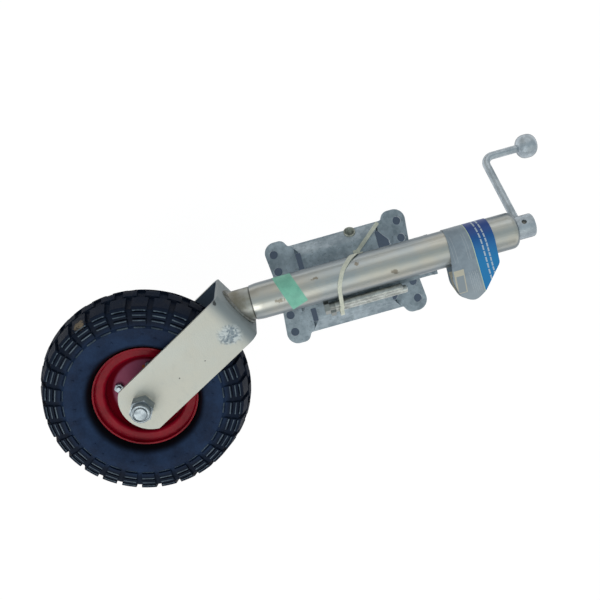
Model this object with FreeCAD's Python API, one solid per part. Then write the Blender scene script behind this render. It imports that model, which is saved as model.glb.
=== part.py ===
import FreeCAD, Part
import math
import os

from FreeCAD import Vector

# Pneumatic trailer jack, in millimetres, standing upright.
# +Z runs up the jack's tube, with the crank on top and the wheel below.
# The bracket's back, which bolts to the trailer, is the plane Y = 0, and the tube is in front of it, on -Y.
# The origin is the middle of the bracket's bolt pattern. +X is the side that the fork leans to.

X_AXIS = Vector(1, 0, 0)
Y_AXIS = Vector(0, 1, 0)
Z_AXIS = Vector(0, 0, 1)
ORIGIN = Vector(0, 0, 0)

# Fits and gaps
fit_gap = 0.1          # radial gap of a shaft in its bore
slide_gap = 0.3        # gap between faces that move past each other
wrap_gap = 0.2         # how far a strap, tape or card lies off the tube

# Bracket: one pressed plate with a raised middle, and a flat plate behind it
plate_thickness = 4.0
clamp_thickness = 4.0
hole_radius = 5.35     # for bolts of 3/8 inch
pattern_wide_x = 101.6
pattern_narrow_x = 57.2
pattern_z = 162.0
ear_half_x = 66.0
ear_outer_z = 93.0
waist_half_x = 18.0
waist_depth = 4.5
ear_length = 27.0
ear_corner = 14.0
rail_half_x = 56.5     # where the raised part's sides reach the plate
hat_half_x = 41.0      # half the width of the raised flat
hat_rise = 16.0
hat_bend = 5.0
hat_half_z = 48.0
rail_half_z = 59.0
strip_inner_z = 54.5   # inner edge of the ears' cross strips
window_bulge = 11.0    # how much deeper the opening is at the crank end
window_half_x = 30.0
window_corner = 10.0
clamp_window_half_x = 45.0
clamp_window_corner = 8.0
ear_step = 5.0         # length of the slope between a rail's side and an ear
ear_step_round = 4.0
ear_root_round = 9.0
waist_round = 30.0
rail_run = 2.0         # how far inside the rail's edge the raised part's side meets the plate
rail_bend = 3.0

# Tube, welded to a saddle that turns on the bracket
tube_radius = 22.25
tube_wall = 1.6
tube_top = 208.0
tube_bottom = -119.0
tube_swage = 8.0       # length over which the lower end is drawn in
tube_mouth_wall = 0.6
tube_shoulder = 8.0
tube_axis_gap = 25.7   # from the saddle's front face to the tube's middle
pivot_z = 19.0
pivot_radius = 15.0
pivot_head_radius = 18.0
pivot_head = 1.2
drum_radius = 24.0
saddle_thickness = 4.0
saddle_half_x = 25.0
saddle_shift = 2.0     # the saddle sits a little to +X of the tube
saddle_half_z = 88.0
saddle_bend = 6.0
cradle_height = 16.0
saddle_weld = 2.4

# Lock pin, drawn out of the drum and held in its barrel
pin_radius = 4.0
pin_head_radius = 5.6
pin_head = 3.0
pin_travel = 8.0
barrel_wall = 1.6
barrel_length = 23.0
barrel_proud = 1.0     # how far the barrel stands out of the bracket's side
barrel_inset = 1.5     # from the drum's clearance to the barrel
barrel_neck = 9.0      # length of the barrel's narrow bore

# Screw, its thrust bearing and its nut
screw_radius = 8.0
screw_bottom = -100.0
cup_height = 14.4
thrust_washer_thickness = 2.5
thrust_washer_radius = 18.0
collar_radius = 16.0
collar_height = 5.0
nut_height = 16.0
ring_height = 4.0
ring_bore = 9.5

# Ram: the inner tube that carries the fork
ram_wall = 2.0
ram_top_gap = 4.0      # from the screw's collar to the top of the ram
caster_turn = 17.0     # degrees that the caster is turned about the tube

# Fork: one bent strap, leaning from the tube
fork_lean = 28.8
fork_root_z = -137.5   # where the tube's middle meets the fork's bridge
strap_shift = -2.0     # the strap's middle, and the axle's, off the tube's middle
axle_shift = -4.0
fork_width = 65.0
fork_thickness = 5.0
fork_bend = 10.0
fork_tip = 27.0        # from the axle to the tip of a cheek
fork_tip_radius = 38.0
cheek_gap = 2.0        # between the tyre and a cheek
axle_drop = 155.0      # from the bridge's top to the axle
weld_size = 3.0

# Axle
axle_radius = 7.95
axle_nut_flats = 25.4
axle_nut_height = 15.0
axle_collar_height = 7.0
axle_collar_radius = 11.4
axle_collar_round = 1.2
axle_insert = 1.4      # width and depth of the groove left by the nut's nylon ring
axle_washer = 3.0
axle_washer_radius = 12.9
axle_end = 0.5
axle_head = 10.0
sleeve_wall = 2.0
spacer_wall = 3.0

# Wheel
tyre_radius = 128.0
tyre_width = 76.0
tread_count = 30
tread_depth = 3.5
tread_root = 2.0       # how deep a lug is rooted in the carcass
lug_share = 0.73       # share of the pitch that a lug fills
lug_shift = -0.30      # turn of the near rows, in pitches
crown_rise = 1.0       # of the tread's slopes above its rounded middle
crown_round = 20.0
shoulder_drop = 9.5    # from the middle of the tread to its shoulder
shoulder_y = tyre_width / 2 - 4.6
side_sink = 0.7        # share of the tread's depth that its side blocks stand out
side_foot = 5.5 / 30       # where the bare side begins to bulge, and is widest, as shares of its height
side_bulge = 22.0 / 30
shoulder_row_low = 14.0    # how far below the tread's middle each side row begins and ends
panel_row_low = 22.0
panel_row_high = 15.5
bar_row_low = 31.0
bar_row_high = 23.5
side_rows_from = tyre_width / 2 - 13.0     # Y that every side row lies beyond
lip_cover = 5.0        # how far the tyre reaches out over the rim's lip
crown_row_from = 1.4
crown_row_to = 12.0
crown_share = 0.85     # length of the middle rows' lugs, of the others' length
shoulder_row_from = 15.5
side_rib = 33.0        # from the tread's middle down to the rib below the side blocks
rim_thickness = 2.0
rim_seat_radius = 50.5
rim_well_y = 8.5       # where the slope from the disc meets the seat
disc_bend = 5.0
well_bend = 4.0
seat_bend = 3.0
lip_bend = 3.5
rim_disc_radius = 42.0
rim_flange_y = 15.0
rim_lip_radius = 63.5
rim_lip = 6.0
hub_radius = 20.0
hub_wall = 2.5
hub_half_y = tyre_width / 2 - 11.5
bearing_width = 11.0
air_crown_wall = 12.0  # rubber between the air space and the tread's middle, and beside it
air_side_wall = 8.0
air_above_lip = 2.5    # from the rim's lip out to the air space
air_radius = (rim_lip_radius + air_above_lip + tyre_radius - air_crown_wall) / 2
air_height = (tyre_radius - air_crown_wall - rim_lip_radius - air_above_lip) / 2     # half its height
air_half_y = tyre_width / 2 - air_side_wall
air_round = min(air_height, air_half_y) - 4.0
air_wall = 1.8
bead_gap = 6.5
bead_clear = 0.6       # between the tyre and the rim's rolled lip
rim_bolt_count = 4
rim_bolt_circle = 34.0
rim_bolt_turn = 38.0
rim_bolt_radius = 3.0
rim_nut_flats = 10.0
rim_nut_height = 5.0
rim_bolt_end = 3.5
valve_radius = 4.6
valve_circle = 44.5
valve_length = 26.0

# Crank
hub_outer = 14.25
hub_height = 22.0
hub_edge = 3.0
arm_radius = 4.8
arm_reach = 106.0
arm_above_tube = 5.2
arm_bend = 11.0
arm_droop = 7.2        # how far the arm has sloped down by its bend
crank_turn = 24.0      # degrees that the arm is turned back from -X
knob_middle = 48.8     # height of the knob's middle above the arm
knob_radius = 14.8
knob_half_height = 12.6
knob_round = 11.0
knob_grip = 2.0        # from the knob's middle down to the end of the rod
cross_pin_radius = 3.0
cross_pin_sunk = 2.6
cross_pin_above_tube = 9.1

# Loose mounting bolts, held against the tube by a strap
bolt_radius = 4.7
bolt_flats = 14.3
bolt_head = 6.3
bolt_length = 92.0
bolt_bottom_z = -25.0
bolt_bundle_x = 32.2
bolt_pitch = 12.2
bolt_slant_x = 4.0     # how far the bolt nearer the bracket lies to +X of the other
bolt_chamfer = 1.0
strap_thickness = 1.3
strap_width = 4.8

# Card tag and tape
card_thickness = 0.6
tape_thickness = 0.15
tag_tip_x = 71.0
tag_low_z = 105.0      # the belt that the tag is cut from begins and ends beyond its outline
tag_high_z = 185.0
tag_outline = [
    (-30, 122), (20, 120), (41, 118), (60, 124), (tag_tip_x, 140), (62, 155), (33, 177), (-30, 174),
]
tag_corners = [0, 30, 20, 14, 12, 20, 8, 0]
tape_outline = [(-30, -92), (21, -74.5), (14.5, -54.5), (-30, -70)]

# Strap that holds the loose bolts: its way round the front and the back, its head and its tail
strap_front = [(60, -18), (10, -15.5), (-9, -6), (-20, 6), (-30, 26)]
strap_front_bends = [40, 30, 25]
strap_back = [(60, -18), (24, -18), (-20, 20), (-30, 26)]
strap_back_bends = [30, 12]
strap_head = Vector(5.0, 6.0, 8.0)
strap_head_z = 14.0
strap_tail_from_z = 20.0
strap_tail_x = -54.0
strap_tail_z = 54.5

# Places that follow from the sizes above
plate_back = -clamp_thickness
plate_front = plate_back - plate_thickness
hat_back = plate_back - hat_rise
hat_front = hat_back - plate_thickness
saddle_back = hat_front - slide_gap
saddle_front = saddle_back - saddle_thickness
tube_y = saddle_front - tube_axis_gap
tube_bore = tube_radius - tube_wall
ram_radius = tube_bore - slide_gap
ram_bore = ram_radius - ram_wall
lip_bottom = tube_top - tube_wall
cup_bottom = lip_bottom - cup_height
washer_bottom = cup_bottom - thrust_washer_thickness
collar_bottom = washer_bottom - slide_gap - collar_height
ram_top = collar_bottom - ram_top_gap
nut_top = ram_top - 1.0 - ring_height - slide_gap
nut_bottom = nut_top - nut_height
hub_bottom = tube_top + slide_gap
cheek_inner = tyre_width / 2 + cheek_gap
cheek_outer = cheek_inner + fork_thickness
sleeve_radius = axle_radius + fit_gap + sleeve_wall
drum_front = hat_back + slide_gap
drum_back = plate_back - slide_gap
lock_y = (drum_front + drum_back) / 2


def arc(start, middle, end):
    return Part.Arc(start, middle, end).toShape()


def unit(vector):
    return vector * (1.0 / vector.Length)


def offset_edges(points, radii, side):
    """Edges of a path with rounded corners, moved sideways by side. Radii are those of the path itself."""
    edges = []
    across = Vector(0, 0, 1)
    legs = [unit(b - a) for a, b in zip(points, points[1:])]
    lefts = [across.cross(leg) for leg in legs]
    at = points[0] + lefts[0] * side
    for i, radius in enumerate(radii):
        turn = math.atan2(legs[i].cross(legs[i + 1]).z, legs[i].dot(legs[i + 1]))
        hand = 1.0 if turn > 0 else -1.0
        cut = radius * math.tan(abs(turn) / 2)
        corner = points[i + 1]
        enter = corner - legs[i] * cut
        centre = enter + lefts[i] * hand * radius
        outer = radius - hand * side
        begin = enter + lefts[i] * side
        end = corner + legs[i + 1] * cut + lefts[i + 1] * side
        middle = centre - unit(lefts[i] + lefts[i + 1]) * hand * outer
        edges.append(Part.LineSegment(at, begin).toShape())
        edges.append(arc(begin, middle, end))
        at = end
    edges.append(Part.LineSegment(at, points[-1] + lefts[-1] * side).toShape())
    return edges


def strip(points, radii, thickness):
    """Flat face in XY: a strip of even thickness along a path with rounded corners."""
    left = offset_edges(points, radii, thickness / 2)
    right = offset_edges(points, radii, -thickness / 2)
    starts = Part.LineSegment(left[0].Vertexes[0].Point, right[0].Vertexes[0].Point).toShape()
    ends = Part.LineSegment(left[-1].Vertexes[-1].Point, right[-1].Vertexes[-1].Point).toShape()
    return Part.Face(Part.Wire(Part.__sortEdges__(left + right + [starts, ends])))


def rounded(points, radii):
    """Flat face in XY: a polygon with each corner rounded by its own radius, or left sharp at 0."""
    edges = []
    count = len(points)
    ends = []
    for i, radius in enumerate(radii):
        before, here, after = points[i - 1], points[i], points[(i + 1) % count]
        if radius == 0:
            ends.append((here, here))
            continue
        to_before, to_after = unit(before - here), unit(after - here)
        half = math.acos(max(-1.0, min(1.0, to_before.dot(to_after)))) / 2
        cut = radius / math.tan(half)
        centre = here + unit(to_before + to_after) * (radius / math.sin(half))
        begin, end = here + to_before * cut, here + to_after * cut
        edges.append(arc(begin, centre + unit(here - centre) * radius, end))
        ends.append((begin, end))
    for i in range(count):
        edges.append(Part.LineSegment(ends[i][1], ends[(i + 1) % count][0]).toShape())
    return Part.Face(Part.Wire(Part.__sortEdges__(edges)))


def flat(pairs):
    return [Vector(a, b, 0) for a, b in pairs]


def polygon(pairs):
    return rounded(flat(pairs), [0] * len(pairs))


def upright(face):
    """Turns a face drawn as (X, Z) from the XY plane into the XZ plane."""
    return face.copy().rotated(ORIGIN, X_AXIS, 90)


def sheet_along_y(face, y_from, y_to):
    """Solid of an (X, Z) outline between two Y planes."""
    standing = upright(face)
    standing.translate(Vector(0, y_from, 0))
    return standing.extrude(Vector(0, y_to - y_from, 0))


def cylinder(radius, length, base, axis=Z_AXIS):
    return Part.makeCylinder(radius, length, base, axis)


def pipe(outer, inner, length, base, axis=Z_AXIS):
    return cylinder(outer, length, base, axis).cut(cylinder(inner, length, base, axis))


def prism(flats, height, base, axis=Z_AXIS, turn=0.0):
    """Hexagonal prism across its flats, such as a nut's body."""
    radius = flats / math.sqrt(3)
    corners = []
    for i in range(6):
        angle = math.radians(60 * i + turn)
        corners.append(Vector(radius * math.cos(angle), radius * math.sin(angle), 0))
    face = Part.Face(Part.makePolygon(corners + corners[:1]))
    body = face.extrude(Vector(0, 0, height))
    rounding = Part.makeCone(radius * 0.93 + height, radius * 0.93, height, ORIGIN, Z_AXIS)
    return oriented(body.common(rounding), base, axis)


def oriented(shape, base, axis):
    """Moves a shape built on +Z so that its Z runs along axis from base."""
    placed = shape.copy()
    placed.Placement = FreeCAD.Placement(base, FreeCAD.Rotation(Z_AXIS, axis)).multiply(placed.Placement)
    return placed


def spun(face, axis):
    """Solid of revolution, from a profile drawn as (radius, height)."""
    return face.revolve(ORIGIN, axis, 360)


def about_z(face):
    """Revolves a (radius, Z) profile about Z."""
    return spun(upright(face), Z_AXIS)


def ring_about_z(outer, inner, bottom, top):
    return pipe(outer, inner, top - bottom, Vector(0, 0, bottom))


def at_tube(shape):
    """From a frame whose Z is the tube's middle to the jack's frame."""
    moved = shape.copy()
    moved.translate(Vector(0, tube_y, 0))
    return moved


def at_caster(shape):
    """From the caster's frame, turned about the tube, to the jack's frame."""
    return at_tube(shape.rotated(ORIGIN, Z_AXIS, caster_turn))


def at_fork(shape):
    """From the fork's frame, with Z up its cheeks and its bridge's top at 0, to the jack's frame."""
    leaned = shape.rotated(ORIGIN, Y_AXIS, -fork_lean)
    leaned.translate(Vector(0, 0, fork_root_z))
    return at_caster(leaned)


def at_wheel(shape):
    """From the wheel's frame, with Y along the axle, to the jack's frame."""
    moved = shape.copy()
    moved.translate(Vector(axle_shift, 0, -axle_drop))
    return at_fork(moved)


def joined(shapes):
    solid = shapes[0].multiFuse(shapes[1:]).removeSplitter()
    return solid.Solids[0] if len(solid.Solids) == 1 else solid


def bolt_places():
    places = []
    for wide in (pattern_wide_x, pattern_narrow_x):
        for side in (-1, 1):
            for end in (-1, 1):
                places.append((side * wide / 2, end * pattern_z / 2))
    return places


def drilled(shape, y_from, y_to):
    """Cuts the eight mounting holes between two Y planes."""
    for x, z in bolt_places():
        shape = shape.cut(cylinder(hole_radius, y_to - y_from, Vector(x, y_from, z), Y_AXIS))
    return shape


def ear_strip(end):
    """Outline (X, Z) of the cross strip with an ear at each side. end is -1 at the wheel, 1 at the crank."""
    inner = strip_inner_z
    ear_start = ear_outer_z - ear_length
    half = [
        (rail_half_x, inner, 0),
        (rail_half_x, ear_start - ear_step, ear_step_round),
        (ear_half_x, ear_start, ear_root_round),
        (ear_half_x, ear_outer_z, ear_corner),
        (waist_half_x, ear_outer_z - waist_depth, waist_round),
    ]
    points = [(x, end * z) for x, z, _ in half]
    radii = [r for _, _, r in half]
    mirrored = [(-x, z) for x, z in reversed(points)]
    return rounded(flat(points + mirrored), radii + radii[::-1])


def window_bite():
    """Outline of the deeper opening in the strip at the crank end."""
    inner, deep = strip_inner_z - 1, strip_inner_z + window_bulge
    root = hat_half_x + ear_step
    points = [(-root, inner), (root, inner), (window_half_x, deep), (-window_half_x, deep)]
    return rounded(flat(points), [0, 0, window_corner, window_corner])


def bracket_plate():
    """Pressed plate: two strips with ears, and a raised middle whose sides slope back to them."""
    mid_back, mid_front = (plate_back + plate_front) / 2, (hat_back + hat_front) / 2
    foot = rail_half_x + 3
    path = flat([
        (-foot, mid_back),
        (-rail_half_x + rail_run, mid_back),
        (-hat_half_x, mid_front),
        (hat_half_x, mid_front),
        (rail_half_x - rail_run, mid_back),
        (foot, mid_back),
    ])
    section = strip(path, [rail_bend, hat_bend, hat_bend, rail_bend], plate_thickness)
    hat = section.extrude(Vector(0, 0, 2 * rail_half_z))
    hat.translate(Vector(0, 0, -rail_half_z))
    corner = Vector(-rail_half_x, 2 * hat_front, -rail_half_z)
    edge = Part.makeBox(2 * rail_half_x, -2 * hat_front, 2 * rail_half_z, corner)
    hat = hat.common(edge)
    cut_from = hat_front - 5
    cut_to = hat_back + hat_rise - 0.01
    for end in (-1, 1):
        mouth = polygon([
            (-hat_half_x - 2, end * hat_half_z),
            (hat_half_x + 2, end * hat_half_z),
            (rail_half_x + 1, end * rail_half_z),
            (rail_half_x + 1, end * (rail_half_z + 5)),
            (-rail_half_x - 1, end * (rail_half_z + 5)),
            (-rail_half_x - 1, end * rail_half_z),
        ])
        hat = hat.cut(sheet_along_y(mouth, cut_from, cut_to))
    strips = []
    for end in (-1, 1):
        ears = sheet_along_y(ear_strip(end), plate_front, plate_back)
        if end == 1:
            ears = ears.cut(sheet_along_y(window_bite(), plate_front - 1, plate_back + 1))
        strips.append(ears)
    plate = joined([hat] + strips)
    plate = drilled(plate, plate_front - 1, plate_back + 1)
    bore_from = Vector(0, hat_front - plate_thickness / 2, pivot_z)
    plate = plate.cut(cylinder(pivot_radius + fit_gap, 2 * plate_thickness, bore_from, Y_AXIS))
    return plate.cut(barrel_shape(barrel_radius()))


def clamp_plate():
    """Flat plate behind the bracket, with the same ears and one large window."""
    half_x, window_x = rail_half_x, clamp_window_half_x
    rails = Part.makeBox(2 * half_x, clamp_thickness, 2 * rail_half_z, Vector(-half_x, plate_back, -rail_half_z))
    frame = [rails]
    for end in (-1, 1):
        frame.append(sheet_along_y(ear_strip(end), plate_back, 0))
    window = rounded(
        flat([
            (-window_x, -rail_half_z),
            (window_x, -rail_half_z),
            (window_x, strip_inner_z + window_bulge),
            (-window_x, strip_inner_z + window_bulge),
        ]),
        [clamp_window_corner] * 4,
    )
    plate = joined(frame).cut(sheet_along_y(window, plate_back - 1, 1))
    return drilled(plate, plate_back - 1, 1)


def barrel_radius():
    return pin_head_radius + slide_gap / 2 + barrel_wall


def slope_normal():
    """Direction out of the raised part's -X side."""
    return unit(Vector(hat_back - plate_back, -(rail_half_x - rail_run - hat_half_x), 0))


def barrel_shape(radius):
    """Cylinder of the lock barrel, its outer end mitred along the bracket's sloping side."""
    inner_x = -(drum_radius + slide_gap + barrel_inset)
    body = cylinder(radius, barrel_length + 12, Vector(inner_x - barrel_length - 12, lock_y, pivot_z), X_AXIS)
    normal = slope_normal()
    seat = Vector(rail_run - rail_half_x, (plate_back + plate_front) / 2, pivot_z)
    foot = seat + normal * (plate_thickness / 2 + barrel_proud)
    beyond = oriented(Part.makeBox(200, 200, 60, Vector(-100, -100, 0)), foot, normal)
    return body.cut(beyond)


def lock_barrel():
    """Short tube through the bracket's side, in which the lock pin slides."""
    body = barrel_shape(barrel_radius())
    step_x = -(drum_radius + slide_gap + barrel_inset + barrel_neck)
    narrow = cylinder(pin_radius + fit_gap, 60, Vector(-80, lock_y, pivot_z), X_AXIS)
    wide = cylinder(pin_head_radius + slide_gap / 2, 60, Vector(step_x - 60, lock_y, pivot_z), X_AXIS)
    return body.cut(narrow).cut(wide)


def lock_pin():
    """Pin with a domed head, shown drawn out of the drum."""
    tip_x = -(drum_radius + slide_gap)
    step_x = tip_x - barrel_inset - barrel_neck
    head_x = step_x - pin_travel - slide_gap - pin_head
    profile = rounded(
        flat([
            (0, head_x),
            (pin_head_radius, head_x),
            (pin_head_radius, head_x + pin_head),
            (pin_radius, head_x + pin_head),
            (pin_radius, tip_x),
            (0, tip_x),
        ]),
        [0, 1.2, 0, 0, 1.0, 0],
    )
    turned = about_z(profile).rotated(ORIGIN, Y_AXIS, 90)
    turned.translate(Vector(0, lock_y, pivot_z))
    return turned


def pivot_drum():
    """Turned drum that joins the saddle to the bracket, with four holes for the lock pin."""
    head_front = saddle_front - pivot_head
    profile = rounded(
        flat([
            (0, -head_front),
            (pivot_head_radius, -head_front),
            (pivot_head_radius, -saddle_front),
            (pivot_radius, -saddle_front),
            (pivot_radius, -drum_front),
            (drum_radius, -drum_front),
            (drum_radius, -drum_back),
            (0, -drum_back),
        ]),
        [0, pivot_head * 0.8, 0, 0, 0, 1.0, 1.0, 0],
    )
    drum = about_z(profile).rotated(ORIGIN, X_AXIS, 90)
    drum.translate(Vector(0, 0, pivot_z))
    depth = pin_travel + 2.0
    for quarter in range(4):
        angle = math.radians(90 * quarter)
        out = Vector(math.cos(angle), 0, math.sin(angle))
        base = Vector(0, lock_y, pivot_z) + out * (drum_radius - depth)
        drum = drum.cut(cylinder(pin_radius + slide_gap, depth + 2, base, out))
    return drum


def tube_body(radius):
    return at_tube(cylinder(radius, tube_top - tube_bottom, Vector(0, 0, tube_bottom)))


def saddle():
    """Plate that turns on the bracket, its ends bent forward and coped round the tube."""
    middle = (saddle_back + saddle_front) / 2
    low, high = pivot_z - saddle_half_z, pivot_z + saddle_half_z
    inset = saddle_thickness / 2
    path = flat([
        (low + inset, middle - cradle_height),
        (low + inset, middle),
        (high - inset, middle),
        (high - inset, middle - cradle_height),
    ])
    section = strip(path, [saddle_bend, saddle_bend], saddle_thickness)
    section = section.rotated(ORIGIN, Y_AXIS, -90)
    plate = section.extrude(Vector(2 * saddle_half_x, 0, 0))
    plate.translate(Vector(saddle_shift - saddle_half_x, 0, 0))
    plate = plate.cut(tube_body(tube_radius))
    bore_from = Vector(0, saddle_front - saddle_thickness, pivot_z)
    return plate.cut(cylinder(pivot_radius, 3 * saddle_thickness, bore_from, Y_AXIS))


def saddle_welds():
    """A bead along each cradle, on the outer side of the saddle's bent ends."""
    beads = []
    for end in (-1, 1):
        z = pivot_z + end * saddle_half_z
        bead = polygon([
            (tube_radius, z),
            (tube_radius + saddle_weld, z),
            (tube_radius, z + end * saddle_weld),
        ])
        turned = upright(bead).revolve(ORIGIN, Z_AXIS, 96)
        beads.append(at_tube(turned.rotated(ORIGIN, Z_AXIS, 90 - 48)))
    return Part.makeCompound(beads)


def outer_tube():
    """Tube with its top end swaged in over the bearing cup."""
    inner_shoulder = tube_shoulder - tube_wall
    mouth = screw_radius + 3.0
    profile = rounded(
        flat([
            (tube_bore, tube_bottom),
            (tube_bore + tube_mouth_wall, tube_bottom),
            (tube_radius, tube_bottom + tube_swage),
            (tube_radius, tube_top),
            (mouth, tube_top),
            (mouth, lip_bottom),
            (tube_bore, lip_bottom),
        ]),
        [0, 0, 6 * tube_swage, tube_shoulder, 0, 0, inner_shoulder],
    )
    return at_tube(about_z(profile))


def top_bearing_cup():
    profile = rounded(
        flat([
            (screw_radius + fit_gap, cup_bottom),
            (tube_bore, cup_bottom),
            (tube_bore, lip_bottom),
            (screw_radius + fit_gap, lip_bottom),
        ]),
        [0, 0, tube_shoulder - tube_wall, 0],
    )
    return at_tube(about_z(profile))


def thrust_washer():
    return at_tube(ring_about_z(thrust_washer_radius, screw_radius + fit_gap, washer_bottom, cup_bottom))


def lead_screw():
    """Screw with its thrust collar and the plain shank that the crank's hub is pinned to."""
    top = hub_bottom + hub_height - 1.5
    profile = rounded(
        flat([
            (0, screw_bottom),
            (screw_radius, screw_bottom),
            (screw_radius, collar_bottom),
            (collar_radius, collar_bottom),
            (collar_radius, collar_bottom + collar_height),
            (screw_radius, collar_bottom + collar_height),
            (screw_radius, top),
            (0, top),
        ]),
        [0, 2, 0, 1, 1, 0, 1.5, 0],
    )
    return at_tube(about_z(profile).cut(cross_pin_shape()))


def screw_nut():
    return at_tube(ring_about_z(ram_bore - slide_gap, screw_radius + fit_gap, nut_bottom, nut_top))


def nut_seat_ring():
    top = nut_bottom - slide_gap
    return at_caster(ring_about_z(ram_bore, ring_bore, top - ring_height, top))


def nut_keeper_ring():
    bottom = nut_top + slide_gap
    return at_caster(ring_about_z(ram_bore, ring_bore, bottom, bottom + ring_height))


def below_bridge():
    """Everything below the top face of the fork's bridge, in the jack's frame."""
    side = 2 * tyre_radius
    return at_fork(Part.makeBox(side, side, side, Vector(-side / 2, -side / 2, -side)))


def ram_tube():
    """Inner tube, its lower end mitred to the fork's bridge."""
    length = ram_top - fork_root_z + 60
    tube = at_caster(pipe(ram_radius, ram_bore, length, Vector(0, 0, ram_top - length)))
    return tube.cut(below_bridge())


def fork_weld():
    """Fillet weld round the mitred end of the ram."""
    profile = polygon([(0, 0), (weld_size, 0), (0, weld_size)])
    slices = at_fork(Part.makeBox(120, 120, weld_size, Vector(-60, -60, 0)))
    ring = at_caster(cylinder(ram_radius + weld_size, 120, Vector(0, 0, fork_root_z - 60))).common(slices)
    core = at_caster(cylinder(ram_radius, 140, Vector(0, 0, fork_root_z - 70)))
    top = [e for e in ring.Edges if on_plane(e, weld_size)]
    return ring.makeChamfer(weld_size * 0.6, top).cut(core)


def on_plane(edge, height):
    """True when an edge lies in the plane at that height of the fork's frame."""
    normal = at_fork(Part.makeLine(ORIGIN, Z_AXIS))
    base, up = normal.Vertexes[0].Point, normal.Vertexes[1].Point - normal.Vertexes[0].Point
    points = edge.discretize(5)
    return all(abs((p - base).dot(up) - height) < 1e-4 for p in points)


def fork():
    """Strap bent to an inverted U, with rounded tips and the axle's holes."""
    reach = axle_drop + fork_tip
    middle = cheek_inner + fork_thickness / 2
    top = -fork_thickness / 2
    path = flat([(-middle, -reach), (-middle, top), (middle, top), (middle, -reach)])
    section = strip(path, [fork_bend, fork_bend], fork_thickness)
    section = section.rotated(ORIGIN, X_AXIS, 90).rotated(ORIGIN, Z_AXIS, 90)
    strap = section.extrude(Vector(fork_width, 0, 0))
    strap.translate(Vector(strap_shift - fork_width / 2, 0, 0))
    half = fork_width / 2
    corner = -reach + fork_tip_radius - math.sqrt(fork_tip_radius ** 2 - half ** 2)
    tip = Part.Face(Part.Wire([
        Part.LineSegment(Vector(-half, corner, 0), Vector(-half, 1, 0)).toShape(),
        Part.LineSegment(Vector(-half, 1, 0), Vector(half, 1, 0)).toShape(),
        Part.LineSegment(Vector(half, 1, 0), Vector(half, corner, 0)).toShape(),
        arc(Vector(half, corner, 0), Vector(0, -reach, 0), Vector(-half, corner, 0)),
    ]))
    outline = sheet_along_y(tip, -2 * cheek_outer, 2 * cheek_outer)
    outline.translate(Vector(strap_shift, 0, 0))
    strap = strap.common(outline)
    bore = cylinder(
        axle_radius + fit_gap, 4 * cheek_outer, Vector(axle_shift, -2 * cheek_outer, -axle_drop), Y_AXIS
    )
    return at_fork(strap.cut(bore))


def nut_face_y():
    """Outer end of the axle nut's collar, on the -Y cheek."""
    return cheek_outer + axle_washer + axle_nut_height + axle_collar_height


def axle_bolt():
    head_y = cheek_outer + axle_washer
    end_y = nut_face_y() + axle_end
    shank = cylinder(axle_radius, head_y + end_y, Vector(0, -end_y, 0), Y_AXIS)
    tip = [e for e in shank.Edges if e.BoundBox.YMax < -end_y + 0.01]
    shank = shank.makeChamfer(1.0, tip)
    head = prism(axle_nut_flats, axle_head, Vector(0, head_y, 0), Y_AXIS)
    return at_wheel(joined([shank, head]))


def axle_nut():
    """Lock nut: a hexagon with a round collar for its nylon ring."""
    base = Vector(0, -cheek_outer - axle_washer, 0)
    body = prism(axle_nut_flats, axle_nut_height, base, Y_AXIS * -1)
    collar_base = base - Vector(0, axle_nut_height, 0)
    collar = cylinder(axle_collar_radius, axle_collar_height, collar_base, Y_AXIS * -1)
    outer = [e for e in collar.Edges if e.BoundBox.YMax < collar_base.y - axle_collar_height + 0.01]
    collar = collar.makeFillet(axle_collar_round, outer)
    bore = cylinder(axle_radius, 2 * nut_face_y(), base, Y_AXIS * -1)
    groove = cylinder(axle_radius + axle_insert, axle_insert, Vector(0, -nut_face_y(), 0), Y_AXIS)
    return at_wheel(joined([body, collar]).cut(bore).cut(groove))


def axle_washers():
    washers = []
    for side in (-1, 1):
        base = Vector(0, side * cheek_outer, 0)
        ring = pipe(axle_washer_radius, axle_radius + fit_gap, axle_washer, base, Y_AXIS * side)
        washers.append(at_wheel(ring))
    return Part.makeCompound(washers)


def axle_sleeve():
    base = Vector(0, -cheek_inner, 0)
    return at_wheel(pipe(sleeve_radius, axle_radius + fit_gap, 2 * cheek_inner, base, Y_AXIS))


def hub_spacers():
    """Collars on the sleeve that keep the wheel midway between the cheeks."""
    rings = []
    start = hub_half_y + slide_gap
    for side in (-1, 1):
        base = Vector(0, side * start, 0)
        ring = pipe(sleeve_radius + spacer_wall, sleeve_radius, cheek_inner - start, base, Y_AXIS * side)
        rings.append(at_wheel(ring))
    return Part.makeCompound(rings)


def wheel_hub():
    base = Vector(0, -hub_half_y, 0)
    shell = pipe(hub_radius, hub_radius - hub_wall, 2 * hub_half_y, base, Y_AXIS)
    rest = hub_half_y - bearing_width
    middle = pipe(hub_radius, hub_radius - 2 * hub_wall, 2 * rest, Vector(0, -rest, 0), Y_AXIS)
    return at_wheel(joined([shell, middle]))


def wheel_bearings():
    """Sealed ball bearings, each with a groove round its shield."""
    bearings = []
    outer, inner = hub_radius - hub_wall, sleeve_radius + fit_gap / 2
    for side in (-1, 1):
        base = Vector(0, side * (hub_half_y - bearing_width), 0)
        ring = pipe(outer, inner, bearing_width, base, Y_AXIS * side)
        face = base + Y_AXIS * side * bearing_width
        groove = pipe(outer - 1.6, inner + 1.6, 0.6, face, Y_AXIS * -side)
        bearings.append(at_wheel(ring.cut(groove)))
    return Part.makeCompound(bearings)


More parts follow.
